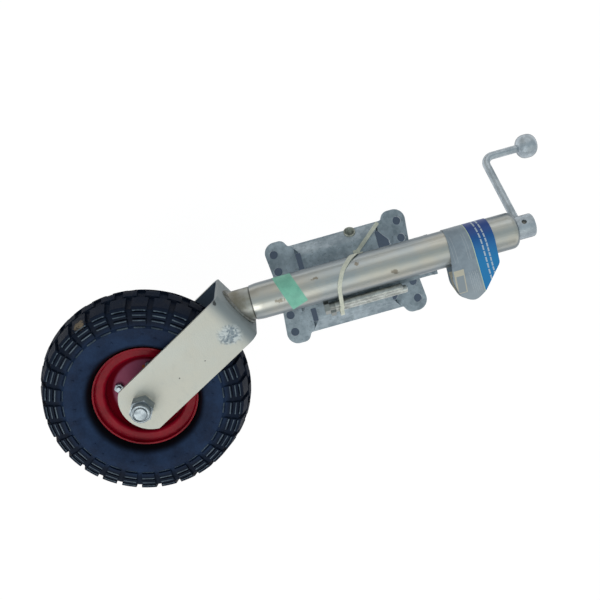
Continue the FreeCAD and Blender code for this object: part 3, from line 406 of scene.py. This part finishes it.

# %% [markdown]
# ## Cream zinc on the fork
#
# The fork's zinc is thicker and duller, nearly cream on the flat cheek. Towards the bend it is greyer, which is
# painted shade where the plate turns away. How far up the fork a place lies gives that change, measured along the
# fork's own lean.

# %% Fork zinc
fork_zinc, tree, shader, place = new_finish("satin_zinc", metallic=0.3, roughness=0.58)
cloud = clouded(tree, place, (203, 202, 192), (188, 191, 185), 22.0, 700.0, 0.2)
lines = use_group(tree, scratch_group, Place=place, Stretch=(40.0, 200.0, 160.0), Cover=0.38)
colour = tint(tree, cloud.outputs["Color"], lines.outputs["Mask"], (150, 154, 152), 0.14)
up_the_fork = along(tree, place, to_fork.translation, fork_up)
# Painted shade: greyer towards the bend, where the plate turns away from the light.
colour = tint(tree, colour, spread(tree, up_the_fork, -0.024, -0.004), (122, 134, 141), 0.8)
sheen(tree, shader, cloud.outputs["Mask"], 0.52, 0.64)
bump(tree, shader, cloud.outputs["Height"], 0.0001)
print("fork's root at", [round(v, 4) for v in to_fork.translation])

# %% [markdown]
# ## Scuffs and the inside of the fork
#
# Near the bend the cheek has been dragged: pale rubs with bare dark steel between them. A blotch says where, and
# warped noise says what is rubbed and what is bare. Little light gets between the cheeks, so their inner faces are
# dark. They are told from the outer ones by how far they lie beside the wheel's middle.

# %% Scuffs and inner faces
FORK_INNER_HALF = 0.040
FACE_TOLERANCE = 0.0003
BRIDGE_UNDERSIDE = -0.0045
scuff = use_group(tree, blotch_group, Place=place, Centre=(0.0286, -0.0923, -0.1523), Reach=(0.014, 0.03, 0.017),
                  Ragged=0.3)
rubs = noise(tree, place, 130.0, 5.0, roughness=0.7, distortion=1.6)
worn = mix_colour(tree, spread(tree, rubs, 0.42, 0.60), linear(190, 198, 200), linear(118, 132, 142))
worn = tint(tree, worn, spread(tree, rubs, 0.62, 0.70), (62, 68, 74))
colour = mix_colour(tree, scuff.outputs["Mask"], colour, worn)
beside = math_node(tree, "ABSOLUTE", along(tree, place, to_wheel.translation, axle_way))
inside = math_node(tree, "MULTIPLY", math_node(tree, "LESS_THAN", beside, FORK_INNER_HALF + FACE_TOLERANCE),
                   math_node(tree, "LESS_THAN", up_the_fork, BRIDGE_UNDERSIDE))
colour = tint(tree, colour, inside, (84, 100, 118))
colour = blotches(tree, place, colour, (70, 74, 76), [
    ((-0.0118, -0.1047, -0.1585), (0.0036, 0.0080, 0.0022), 0.8),
    ((0.0620, -0.0830, -0.2240), (0.0012, 0.0050, 0.0012), 0.8),
    ((0.0500, -0.0860, -0.1890), (0.0010, 0.0050, 0.0014), 0.8),
])
paint(tree, shader, colour)
wear(fork_zinc, "fork", "axle_washers")

# %% [markdown]
# ## Weld metal
#
# A bead is darker and rougher than what it joins, because the arc burns the zinc off. Clouds from grey to brown
# are enough at its size.

# %% Weld metal
weld_metal, tree, shader, place = new_finish("weld_metal", metallic=0.6, roughness=0.55)
paint(tree, shader, clouded(tree, place, (150, 154, 152), (92, 88, 80), 90.0, 500.0, 0.35).outputs["Color"])
wear(weld_metal, "fork_weld", "saddle_welds")

# %% [markdown]
# ## Galvanised steel on the bracket
#
# The bracket was dipped hot: a dull, blotchy grey with a crystal grain and rough spots. The spots are both darker
# and raised, so one fine noise drives the dirt and the bump.

# %% Galvanised
galvanised, tree, shader, place = new_finish("galvanised", metallic=0.55, roughness=0.58)
cloud = clouded(tree, place, (180, 193, 202), (136, 150, 160), 55.0, 260.0, 0.35)
speck = noise(tree, place, 520.0, 3.0)
paint(tree, shader, tint(tree, cloud.outputs["Color"], spread(tree, speck, 0.60, 0.72), (92, 98, 100), 0.5))
sheen(tree, shader, cloud.outputs["Mask"], 0.66, 0.48)
bump(tree, shader, speck, 0.0003)
wear(galvanised, "bracket_plate", "clamp_plate", "saddle")

# %% [markdown]
# ## Plated fasteners
#
# The axle's nut and the rim's bolts are plated a middle grey. The two loose bolts strapped to the tube are new and
# nearly silver, and their heads hang in the shade of the tube, so everything below one height is darker.

# %% Fasteners
plated, tree, shader, place = new_finish("plated_steel", metallic=0.8, roughness=0.4)
cloud = clouded(tree, place, (154, 164, 170), (118, 128, 136), 120.0, 900.0, 0.3)
paint(tree, shader, cloud.outputs["Color"])
sheen(tree, shader, cloud.outputs["Mask"], 0.48, 0.36)
bump(tree, shader, cloud.outputs["Height"], 0.0001)
wear(plated, "axle_bolt", "axle_nut", "rim_bolts", "rim_nuts")

BOLT_HEADS_Z = -0.0245
silver, tree, shader, place = new_finish("silver_plate", metallic=0.85, roughness=0.34)
cloud = clouded(tree, place, (222, 226, 222), (158, 162, 160), 70.0, 900.0, 0.25)
heads = math_node(tree, "LESS_THAN", split(tree, place)["Z"], BOLT_HEADS_Z)
paint(tree, shader, tint(tree, cloud.outputs["Color"], heads, (96, 100, 98), 0.6))
wear(silver, "mounting_bolts")

# %% [markdown]
# ## Oily steel, a stained barrel and bronze
#
# What is inside or behind is dark with oil and rarely seen, so it shares one finish. The lock's barrel shows beside
# the tube, with small pale and dark stains. The nut on the screw is bronze, which runs well on steel.

# %% Inner steel and bronze
oily, tree, shader, place = new_finish("oily_steel", metallic=0.8, roughness=0.4)
cloud = clouded(tree, place, (128, 130, 126), (70, 70, 66), 70.0, 500.0, 0.3)
paint(tree, shader, cloud.outputs["Color"])
sheen(tree, shader, cloud.outputs["Mask"], 0.5, 0.3)
wear(oily, "lock_pin", "pivot_drum", "top_bearing_cup", "thrust_washer", "lead_screw", "nut_seat_ring",
     "nut_keeper_ring", "axle_sleeve", "hub_spacers", "wheel_bearings", "cross_pin")

barrel, tree, shader, place = new_finish("stained_barrel", metallic=0.5, roughness=0.55)
paint(tree, shader, clouded(tree, place, (178, 184, 174), (92, 96, 90), 160.0, 500.0, 0.25).outputs["Color"])
wear(barrel, "lock_barrel")

bronze, tree, shader, place = new_finish("bronze", metallic=0.9, roughness=0.38)
paint(tree, shader, clouded(tree, place, (190, 150, 90), (140, 104, 60), 60.0, 500.0, 0.3).outputs["Color"])
wear(bronze, "screw_nut")

# %% [markdown]
# ## Red paint on the rim
#
# Stove enamel: deep red, with a little orange peel. Down in the dish it is darker, which is painted shade, and on
# the dish's floor it is paler, pinker and dull, with a stain beside one bolt. All of that goes by the radius from
# the axle.

# %% Red enamel
DISH_WALL = (0.046, 0.052)
DISH_FLOOR = (0.039, 0.043)
STAIN_BY_BOLT = ((0.0391, -0.0441, -0.2699), (0.0024, 0.008, 0.0024), 0.7)
enamel, tree, shader, place = new_finish("red_enamel", roughness=0.3, coat=0.03, specular=0.08)
cloud = clouded(tree, place, (146, 5, 32), (118, 0, 22), 45.0, 500.0, 0.15)
radius = wheel_radius(tree, place)
# Painted shade: darker down in the dish, inside the wall's radius.
colour = tint(tree, cloud.outputs["Color"], spread(tree, radius, *DISH_WALL, 0.65, 0.0), (98, 0, 18))
colour = tint(tree, colour, spread(tree, radius, *DISH_FLOOR, 0.8, 0.0), (150, 80, 108))
colour = blotches(tree, place, colour, (172, 92, 48), [STAIN_BY_BOLT])
paint(tree, shader, colour)
sheen(tree, shader, radius, 0.62, 0.30, low=0.040, high=0.046)
bump(tree, shader, noise(tree, place, 260.0, 2.0), 0.00015)
wear(enamel, "rim_outer", "rim_inner", "wheel_hub")

# %% [markdown]
# ## Rubber
#
# A new pneumatic tyre is black with a blue cast. Its side is the palest, and it darkens out to the tread. In beside
# the rim, where it dips, it is painted near black as shade. One lug has been rubbed on the ground.

# %% Tyre and rubber
TREAD_START = (0.092, 0.104)
BESIDE_RIM = (0.066, 0.074)
RUBBED_LUG = ((-0.0311, -0.0996, -0.3170), (0.0085, 0.012, 0.0085), 0.9)
rubber, tree, shader, place = new_finish("tyre_rubber", roughness=0.6, specular=0.10)
cloud = clouded(tree, place, (37, 56, 86), (18, 32, 56), 30.0, 700.0, 0.25)
radius = wheel_radius(tree, place)
colour = tint(tree, cloud.outputs["Color"], spread(tree, radius, *TREAD_START), (9, 15, 26), 0.75)
# Painted shade: a dark ring beside the rim, where the tyre dips.
colour = tint(tree, colour, spread(tree, radius, *BESIDE_RIM, 1.0, 0.0), (5, 8, 14))
colour = blotches(tree, place, colour, (112, 100, 84), [RUBBED_LUG])
paint(tree, shader, colour)
sheen(tree, shader, cloud.outputs["Mask"], 0.54, 0.70)
bump(tree, shader, noise(tree, place, 900.0, 3.0), 0.0002)
wear(rubber, "tyre", "air_tube", "valve_stem")

# %% [markdown]
# ## Highlighted bars on the tyre
#
# The thin raised bars on the tyre's side are painted grey as a highlight on their edges. They are pieces of their
# own, made further down, so they can have a finish of their own.

# %% Highlighted bars
bar_highlight, tree, shader, place = new_finish("bar_highlight_rubber", roughness=0.5, specular=0.25)
# Painted highlight: the bars are a pale grey, as their lit edges look.
paint(tree, shader, clouded(tree, place, (92, 106, 118), (44, 58, 74), 60.0, 700.0, 0.3).outputs["Color"])
print("finish:", bar_highlight.name)


# %% [markdown]
# ## Printed card
#
# The tag is grey card with one blue band, a small pale field and a few broken lines, each a plain area of colour.
# It is folded round the tube. Areas that are cut off by height along the tube run round it as print does, so no
# image and no unfolding are needed. The print leans a little, and so does the height that it goes by.

# %% Areas of print
def stripe(tree, value, low, high):
    """1 where a value is between two limits, else 0."""
    return math_node(tree, "MULTIPLY", math_node(tree, "GREATER_THAN", value, low),
                     math_node(tree, "LESS_THAN", value, high))


def dashes(tree, value, length, share):
    """1 along a share of each length, as a broken line is drawn."""
    return math_node(tree, "LESS_THAN", math_node(tree, "FRACT", math_node(tree, "DIVIDE", value, length)), share)


BAND_EDGE = 0.1478
PRINT_LEAN = -0.10
card, tree, shader, place = new_finish("printed_card", roughness=0.42, specular=0.4)
axes = split(tree, place)
x, z = axes["X"], axes["Z"]
fibre = clouded(tree, place, (142, 156, 168), (122, 135, 147), 60.0, 1500.0, 0.25)
slant = math_node(tree, "ADD", z, math_node(tree, "MULTIPLY", x, PRINT_LEAN))
band = math_node(tree, "GREATER_THAN", slant, BAND_EDGE)
blue = mix_colour(tree, spread(tree, x, -0.02, 0.03), linear(30, 66, 138), linear(8, 122, 184))
colour = mix_colour(tree, band, fibre.outputs["Color"], blue)
colour = tint(tree, colour, stripe(tree, slant, BAND_EDGE, BAND_EDGE + 0.0008), (190, 206, 176))
print("blue band from", BAND_EDGE)

# %% [markdown]
# ## Lines on the card
#
# Two broken lines run in the band, four faint ones cross the grey, and five short rows stand in a block. They are
# rows of figures here: where each starts, how thick it is, and how long its dashes are.

# %% Lines and fields of the card
for low, high, length in ((0.1582, 0.1600, 0.0074), (0.1636, 0.1654, 0.0059)):
    marks = math_node(tree, "MULTIPLY", stripe(tree, slant, low, high), dashes(tree, x, length, 0.8))
    colour = tint(tree, colour, marks, (196, 208, 214), 0.75)
for low, high in ((0.1226, 0.1231), (0.1262, 0.1267), (0.1392, 0.1397), (0.1422, 0.1427)):
    faint = math_node(tree, "MULTIPLY", stripe(tree, slant, low, high), stripe(tree, x, -0.012, 0.020))
    colour = tint(tree, colour, faint, (176, 184, 190), 0.5)
for number in range(5):
    low = 0.1345 + 0.0024 * number
    row = math_node(tree, "MULTIPLY", stripe(tree, slant, low, low + 0.0007), stripe(tree, x, 0.034, 0.060))
    row = math_node(tree, "MULTIPLY", row, dashes(tree, x, 0.0063 + 0.0008 * number, 0.85))
    colour = tint(tree, colour, row, (182, 190, 196), 0.55)
pale_foot = math_node(tree, "MULTIPLY", spread(tree, x, 0.030, 0.062, 0.0, 0.4),
                      math_node(tree, "SUBTRACT", 1.0, band))
colour = tint(tree, colour, pale_foot, (176, 184, 190))
for z_limits, x_limits, shade in (((0.1205, 0.1330), (0.0290, 0.0570), (190, 186, 170)),
                                  ((0.1225, 0.1318), (0.0362, 0.0562), (142, 152, 160))):
    field = math_node(tree, "MULTIPLY", stripe(tree, z, *z_limits), stripe(tree, x, *x_limits))
    colour = tint(tree, colour, field, shade)
paint(tree, shader, colour)
wear(card, "card_tag")

# %% [markdown]
# ## Tape and nylon
#
# A strip of green tape is stuck on the tube near the fork. The strap that holds the bolts is cream nylon with
# fine ribs across it. The ribs are too small for geometry, so a wave over the height drives the bump.

# %% Tape and nylon
tape, tree, shader, place = new_finish("green_tape", roughness=0.5)
paint(tree, shader, clouded(tree, place, (132, 202, 178), (112, 178, 158), 90.0, 1500.0, 0.3).outputs["Color"])
wear(tape, "green_tape")

nylon, tree, shader, place = new_finish("cream_nylon", roughness=0.38)
paint(tree, shader, clouded(tree, place, (222, 224, 208), (196, 200, 186), 80.0, 900.0, 0.2).outputs["Color"])
ribs = add_node(tree, "ShaderNodeTexWave", {"bands_direction": "Z"}, {"Vector": place, "Scale": 160.0}).outputs[1]
bump(tree, shader, ribs, 0.0003)
wear(nylon, "cable_tie")


# %% [markdown]
# ## Shapes that repeat
#
# Threads, weld ripples and the marks on the tyre's side are the same small form many times over. Geometry Nodes
# make them: each tree has named sizes, and its result is kept as a plain mesh that rides on its body.

# %% Shape helpers
INT, GEOMETRY, MATERIAL = "NodeSocketInt", "NodeSocketGeometry", "NodeSocketMaterial"


def new_shape(name, inputs):
    """An empty Geometry Nodes tree with named inputs. Returns its tree and its input node."""
    tree = bpy.data.node_groups.new(name, "GeometryNodeTree")
    tree.interface.new_socket("Geometry", in_out="OUTPUT", socket_type=GEOMETRY)
    for socket, kind in inputs:
        tree.interface.new_socket(socket, in_out="INPUT", socket_type=kind)
    return tree, tree.nodes.new("NodeGroupInput")


def end_shape(tree, geometry, finish):
    """Closes a tree with Realize Instances and Set Material."""
    real = add_node(tree, "GeometryNodeRealizeInstances", {}, {"Geometry": geometry}).outputs[0]
    dressed = add_node(tree, "GeometryNodeSetMaterial", {}, {"Geometry": real, "Material": finish}).outputs[0]
    tree.links.new(dressed, tree.nodes.new("NodeGroupOutput").inputs[0])
    print("shape:", tree.name)


def grow(name, tree, body, place, values):
    """Runs a tree, moves its result to its place, and lets it ride on a body."""
    piece = bpy.data.objects.new(name, bpy.data.meshes.new(name))
    bpy.context.scene.collection.objects.link(piece)
    modifier = piece.modifiers.new(name, "NODES")
    modifier.node_group = tree
    for item in tree.interface.items_tree:
        if item.item_type == "SOCKET" and item.in_out == "INPUT":
            modifier[item.identifier] = values[item.name]
    depsgraph = bpy.context.evaluated_depsgraph_get()
    mesh = bpy.data.meshes.new_from_object(piece.evaluated_get(depsgraph), depsgraph=depsgraph)
    piece.modifiers.clear()
    piece.data = mesh
    mesh.transform(place)
    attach(piece, body)
    print(name, "has", len(mesh.polygons), "faces")
    return piece


# %% [markdown]
# ## Threads
#
# The loose bolts are threaded nearly to the head. A spiral with a three-sided section, wound on the bolt's own
# radius, leaves its ridges standing a few tenths of a millimetre out of it.

# %% The thread's tree
thread_tree, gin = new_shape("thread", [("Turns", FLOAT), ("Pitch", FLOAT), ("Radius", FLOAT), ("Ridge", FLOAT),
                                        ("Finish", MATERIAL)])
height = math_node(thread_tree, "MULTIPLY", gin.outputs["Turns"], gin.outputs["Pitch"])
spiral = add_node(thread_tree, "GeometryNodeCurveSpiral", {}, {
    "Resolution": 28, "Rotations": gin.outputs["Turns"], "Start Radius": gin.outputs["Radius"],
    "End Radius": gin.outputs["Radius"], "Height": height})
section = add_node(thread_tree, "GeometryNodeCurvePrimitiveCircle", {}, {
    "Resolution": 3, "Radius": gin.outputs["Ridge"]})
ridge = add_node(thread_tree, "GeometryNodeCurveToMesh", {}, {
    "Curve": spiral.outputs[0], "Profile Curve": section.outputs[0], "Fill Caps": True})
end_shape(thread_tree, ridge.outputs[0], gin.outputs["Finish"])

# %% Threads on the two bolts
BOLT_RADIUS = 0.0047
BOLT_PITCH = 0.0015875
BOLT_THREAD = 0.085
BOLT_RIDGE = 0.00035
BOLT_CHAMFER = 0.0015
BOLT_TIPS = ((0.0342, -0.03504, 0.0670), (0.0302, -0.04656, 0.0604))
for number, (x, y, tip) in enumerate(BOLT_TIPS):
    foot = Matrix.Translation((x, y, tip - BOLT_CHAMFER - BOLT_THREAD))
    grow(f"bolt_thread_{number}", thread_tree, "mast", foot, {
        "Turns": BOLT_THREAD / BOLT_PITCH, "Pitch": BOLT_PITCH, "Radius": BOLT_RADIUS, "Ridge": BOLT_RIDGE,
        "Finish": silver})

# %% [markdown]
# ## Ripples in the fork's weld
#
# A weld bead is a row of overlapping puddles. Where the leaning tube meets the flat bridge the row is an ellipse,
# so flattened balls are set along a circle that is stretched by the lean.

# %% The ripples' tree
ripple_tree, gin = new_shape("weld_ripples", [("Puddles", INT), ("Radius", FLOAT), ("Lean Stretch", FLOAT),
                                              ("Puddle", FLOAT), ("Finish", MATERIAL)])
ring = add_node(ripple_tree, "GeometryNodeCurvePrimitiveCircle", {}, {
    "Resolution": 96, "Radius": gin.outputs["Radius"]}).outputs[0]
stretch = add_node(ripple_tree, "ShaderNodeCombineXYZ", {}, {
    0: gin.outputs["Lean Stretch"], 1: 1.0, 2: 1.0}).outputs[0]
ellipse = add_node(ripple_tree, "GeometryNodeTransform", {}, {"Geometry": ring, "Scale": stretch}).outputs[0]
row = add_node(ripple_tree, "GeometryNodeCurveToPoints", {}, {"Curve": ellipse, "Count": gin.outputs["Puddles"]})
puddle = add_node(ripple_tree, "GeometryNodeMeshIcoSphere", {}, {"Radius": gin.outputs["Puddle"], "Subdivisions": 3})
many = add_node(ripple_tree, "GeometryNodeInstanceOnPoints", {}, {
    "Points": row.outputs["Points"], "Instance": puddle.outputs[0], "Rotation": row.outputs["Rotation"],
    "Scale": (1.0, 1.0, 0.6)})
end_shape(ripple_tree, many.outputs[0], gin.outputs["Finish"])

# %% Ripples on the bead
RAM_RADIUS = 0.02035
BEAD_OUT = 0.0012
BEAD_UP = 0.0006
grow("weld_ripples", ripple_tree, "ram", to_fork @ Matrix.Translation((0, 0, BEAD_UP)), {
    "Puddles": 58, "Radius": RAM_RADIUS + BEAD_OUT, "Lean Stretch": 1.0 / math.cos(FORK_LEAN), "Puddle": 0.0021,
    "Finish": weld_metal})

# %% [markdown]
# ## Marks on the tyre's side
#
# Each block on the tyre's side carries thin raised bars, painted paler than the rest as a highlight, and small nubs
# stand on the smooth ring below. They are made on a flat ring beside the wheel, then each point is dropped along the
# axle until it stands on the rubber.

# %% The bars' tree
bar_tree, gin = new_shape("side_bars", [("Count", INT), ("Radius", FLOAT), ("Start", FLOAT), ("Long", FLOAT),
                                        ("Wide", FLOAT), ("Proud", FLOAT), ("Finish", MATERIAL)])
size = add_node(bar_tree, "ShaderNodeCombineXYZ", {}, {
    0: gin.outputs["Wide"], 1: gin.outputs["Proud"], 2: gin.outputs["Long"]}).outputs[0]
bar = add_node(bar_tree, "GeometryNodeMeshCube", {}, {
    "Size": size, "Vertices X": 3, "Vertices Y": 2, "Vertices Z": 9}).outputs[0]
out_at = add_node(bar_tree, "ShaderNodeCombineXYZ", {}, {0: gin.outputs["Radius"]}).outputs[0]
bar = add_node(bar_tree, "GeometryNodeTransform", {}, {"Geometry": bar, "Translation": out_at}).outputs[0]
spots = add_node(bar_tree, "GeometryNodePoints", {}, {"Count": gin.outputs["Count"]}).outputs[0]
number = add_node(bar_tree, "GeometryNodeInputIndex").outputs[0]
step = math_node(bar_tree, "DIVIDE", 2 * math.pi, gin.outputs["Count"])
angle = math_node(bar_tree, "MULTIPLY", math_node(bar_tree, "ADD", number, gin.outputs["Start"]), step)
turn = add_node(bar_tree, "ShaderNodeCombineXYZ", {}, {1: angle}).outputs[0]
ring = add_node(bar_tree, "GeometryNodeInstanceOnPoints", {}, {"Points": spots, "Instance": bar, "Rotation": turn})
end_shape(bar_tree, ring.outputs[0], gin.outputs["Finish"])

# %% Dropping marks onto the rubber
BESIDE_TYRE = 0.08
tyre_mesh = nodes["tyre"].data
tyre_surface = BVHTree.FromPolygons([v.co for v in tyre_mesh.vertices], [p.vertices for p in tyre_mesh.polygons])


def stand_on_tyre(piece, side):
    """Drops a flat ring of marks onto the tyre's side, and keeps how proud each point is."""
    back_to_wheel = to_wheel.inverted()
    out = axle_way * side
    for vertex in piece.data.vertices:
        proud = (back_to_wheel @ vertex.co).y * side
        above = vertex.co + out * (BESIDE_TYRE - proud)
        hit = tyre_surface.ray_cast(above, -out)[0]
        vertex.co = (hit if hit else above - out * BESIDE_TYRE / 2) + out * proud


print("tyre's surface has", len(tyre_mesh.polygons), "faces")

# %% Bars and nubs on both sides
TREAD_COUNT = 30
NUB_COUNT = 10
NUB_WIDTH = 0.0022
NUB_HEIGHT = 0.0018
# Radius, length, width and how far a bar stands out.
BAR_ROWS = ((0.1145, 0.0150, 0.0013, 0.0006), (0.1092, 0.0150, 0.0012, 0.0006), (0.1030, 0.0145, 0.0012, 0.0006),
            (0.0945, 0.0130, 0.0014, 0.0005))
# Radius, and where the first nub is, as a share of the step to the next.
NUB_ROWS = ((0.0818, 0.57), (0.0858, 0.286))

for side, label, bar_start in ((-1, "near", -0.30), (1, "far", 0.20)):
    for row, (radius, long, wide, proud) in enumerate(BAR_ROWS):
        marks = grow(f"side_bars_{label}_{row}", bar_tree, "wheel", to_wheel, {
            "Count": TREAD_COUNT, "Radius": radius, "Start": bar_start, "Long": long, "Wide": wide,
            "Proud": 2 * proud, "Finish": bar_highlight})
        stand_on_tyre(marks, side)
    for row, (radius, nub_start) in enumerate(NUB_ROWS):
        nubs = grow(f"side_nubs_{label}_{row}", bar_tree, "wheel", to_wheel, {
            "Count": NUB_COUNT, "Radius": radius, "Start": nub_start, "Long": NUB_WIDTH, "Wide": NUB_WIDTH,
            "Proud": NUB_HEIGHT, "Finish": rubber})
        stand_on_tyre(nubs, side)


# %% [markdown]
# ## Floor
#
# The jack is seen from above, so the pale floor stands behind it, parallel to XZ, and far enough off for the wheel
# and the crank to turn in front of it. A white that is only bright enough by light would burn out the jack, so the
# floor glows for the eye, glossy surfaces and glass alone. A small share of it stays plain, and takes the jack's
# shadow. Seen from behind it is clear, so that other views aren't blocked.

# %% Floor
FLOOR_Y = 0.15
FLOOR_HALF = 6.0
floor_mesh = bpy.data.meshes.new("floor")
corners = ((-1, -1), (1, -1), (1, 1), (-1, 1))
floor_mesh.from_pydata([(x * FLOOR_HALF, FLOOR_Y, z * FLOOR_HALF) for x, z in corners], [], [(0, 1, 2, 3)])
floor = bpy.data.objects.new("floor", floor_mesh)
bpy.context.scene.collection.objects.link(floor)
pale = bpy.data.materials.new("pale_floor")
pale.use_nodes = True
tree = pale.node_tree
tree.nodes.clear()
print("floor at Y", FLOOR_Y)

# %% [markdown]
# ## Painted shade behind the bracket
#
# Right under the bracket the ground lies in shade, which shows through the bracket's holes, so a patch of painted
# shade lies on the floor. The patch has to follow the plate's outline as the camera sees it, so each place on the
# floor is brought forward along its line to the eye, onto the plate. The patch shows only when the floor is looked
# at straight on, because from the side it would stick out past the bracket.

# %% Painted shade on the floor
VIEW_PLACE = Vector((-0.00535, -0.9298, -0.0584))
RAIL_HALF_X = 0.052
EAR_HALF_X = 0.0605
EAR_FOOT_Z = 0.0725
PLATE_HALF_Z = 0.0885
SOFT_EDGE = 0.002
floor_place = split(tree, add_node(tree, "ShaderNodeTexCoord").outputs["Object"])
nearer = VIEW_PLACE.y / (VIEW_PLACE.y - FLOOR_Y)


def brought_forward(value, eye):
    """Where the line from the eye to a place on the floor meets the bracket's plate, from its middle."""
    onto_plate = math_node(tree, "MULTIPLY_ADD", value, nearer)
    onto_plate.node.inputs[2].default_value = eye * (1.0 - nearer)
    return math_node(tree, "ABSOLUTE", onto_plate)


def within(value, edge):
    """1 inside an edge, and 0 outside it."""
    return spread(tree, value, edge - SOFT_EDGE, edge + SOFT_EDGE, 1.0, 0.0)


out_x = brought_forward(floor_place["X"], VIEW_PLACE.x)
out_z = brought_forward(floor_place["Z"], VIEW_PLACE.z)
rails = math_node(tree, "MULTIPLY", within(out_x, RAIL_HALF_X), within(out_z, PLATE_HALF_Z))
ears = math_node(tree, "MULTIPLY", within(out_x, EAR_HALF_X), within(out_z, PLATE_HALF_Z))
ears = math_node(tree, "MULTIPLY", ears, math_node(tree, "GREATER_THAN", out_z, EAR_FOOT_Z))
straight = math_node(tree, "SUBTRACT", 1.0, edge_darkness(tree, 0.018, 0.045))
# Painted shade: the floor is dark where the bracket's plate stands between it and the eye.
bracket_shade = math_node(tree, "MULTIPLY", math_node(tree, "MAXIMUM", rails, ears), straight)
print("the plate is", round(nearer, 3), "as far from the eye as the floor")

# %% Floor's shaders
GLOW_SHARE = 0.9
GLOW_STRENGTH = 1.06
PALE_GROUND = (0.86, 0.86, 0.86, 1)
# Painted shade: the colour of the floor behind the bracket.
SHADE_BEHIND_BRACKET = (0.10, 0.13, 0.18, 1)
paths = tree.nodes.new("ShaderNodeLightPath")
lit = math_node(tree, "MAXIMUM", paths.outputs["Is Camera Ray"], math_node(
    tree, "MAXIMUM", paths.outputs["Is Glossy Ray"], paths.outputs["Is Transmission Ray"]))
open_floor = math_node(tree, "SUBTRACT", 1.0, bracket_shade)
seen = math_node(tree, "MULTIPLY", lit, math_node(tree, "MULTIPLY", open_floor, GLOW_SHARE))
ground = mix_colour(tree, bracket_shade, PALE_GROUND, SHADE_BEHIND_BRACKET)
shade = add_node(tree, "ShaderNodeBsdfDiffuse", {}, {"Color": ground})
glow = add_node(tree, "ShaderNodeEmission", {}, {"Color": (1, 1, 1, 1), "Strength": GLOW_STRENGTH})
clear = add_node(tree, "ShaderNodeBsdfTransparent")
side = tree.nodes.new("ShaderNodeNewGeometry")
front = add_node(tree, "ShaderNodeMixShader", {}, {0: seen, 1: shade.outputs[0], 2: glow.outputs[0]})
whole = add_node(tree, "ShaderNodeMixShader", {}, {
    0: side.outputs["Backfacing"], 1: front.outputs[0], 2: clear.outputs[0]})
tree.links.new(whole.outputs[0], tree.nodes.new("ShaderNodeOutputMaterial").inputs["Surface"])
floor_mesh.materials.append(pale)
print("floor's finish:", pale.name)

# %% [markdown]
# ## World
#
# Bright tubes show what stands round them. In the picture they carry soft bands from one side to the other, so the
# world is a ramp along X from pale to dim and back. The camera itself sees plain white.

# %% World
RAMP = (
    (0.00, (0.30, 0.28, 0.25, 1)), (0.10, (0.62, 0.60, 0.55, 1)), (0.36, (0.38, 0.45, 0.50, 1)),
    (0.52, (0.30, 0.38, 0.42, 1)), (0.78, (0.58, 0.63, 0.62, 1)), (0.95, (1.00, 1.00, 0.95, 1)),
    (1.00, (0.34, 0.36, 0.37, 1)),
)
world = bpy.data.worlds.new("studio")
bpy.context.scene.world = world
world.use_nodes = True
tree = world.node_tree
tree.nodes.clear()
way = split(tree, add_node(tree, "ShaderNodeTexCoord").outputs["Generated"])
sky = add_node(tree, "ShaderNodeValToRGB", {}, {0: spread(tree, way["X"], -1.0, 1.0)})
stops = sky.color_ramp.elements
while len(stops) < len(RAMP):
    stops.new(0.5)
for stop, (at, value) in zip(stops, RAMP):
    stop.position = at
    stop.color = value
paths = tree.nodes.new("ShaderNodeLightPath")
colour = mix_colour(tree, paths.outputs["Is Camera Ray"], sky.outputs[0], (1, 1, 1, 1))
background = add_node(tree, "ShaderNodeBackground", {}, {"Color": colour, "Strength": 1.0})
tree.links.new(background.outputs[0], tree.nodes.new("ShaderNodeOutputWorld").inputs["Surface"])
print("world:", world.name, "with", len(stops), "stops")


# %% [markdown]
# ## Lamps
#
# A large soft lamp low on the right of the tube gives the long highlights, and a weaker one across from it opens
# the shadows. The third stands behind, for views from there.

# %% Lamps
LAMP_TARGET = Vector((0, 0, -0.1))


def soft_lamp(name, place, size, power, colour):
    """A square lamp that faces the jack."""
    lamp = bpy.data.lights.new(name, "AREA")
    lamp.size = size
    lamp.energy = power
    lamp.color = colour
    holder = bpy.data.objects.new(name, lamp)
    bpy.context.scene.collection.objects.link(holder)
    holder.location = place
    holder.rotation_mode = "QUATERNION"
    holder.rotation_quaternion = (LAMP_TARGET - Vector(place)).to_track_quat("-Z", "Y")
    print("lamp:", name, power, "W")


soft_lamp("key", (1.05, -1.5, -0.9), 1.2, 11.0, (1.0, 0.98, 0.94))
soft_lamp("fill", (-1.7, -1.1, 0.6), 1.4, 4.5, (0.92, 0.96, 1.0))
soft_lamp("back", (0.3, 1.6, 0.5), 1.4, 12.0, (1.0, 1.0, 1.0))


# %% [markdown]
# ## Camera
#
# The camera's place, aim and lens come from fitting the eight bolt holes, the tube, the tyre and the rim.

# %% Camera
CAMERA_AIM = Vector((0.0201, 0.9998, -0.0062)).normalized()
CAMERA_UP = Vector((-0.9627, 0.0210, 0.2696))
camera = bpy.data.objects.new("camera", bpy.data.cameras.new("camera"))
bpy.context.scene.collection.objects.link(camera)
right = CAMERA_AIM.cross(CAMERA_UP).normalized()
up = right.cross(CAMERA_AIM)
camera.matrix_world = Matrix.Translation(VIEW_PLACE) @ Matrix((right, up, -CAMERA_AIM)).transposed().to_4x4()
camera.data.sensor_width = 36.0
camera.data.lens = 43.6
camera.data.clip_start = 0.05
camera.data.clip_end = 50.0
bpy.context.scene.camera = camera
bpy.context.scene.view_settings.view_transform = "Standard"
print("camera at", [round(v, 3) for v in camera.location])
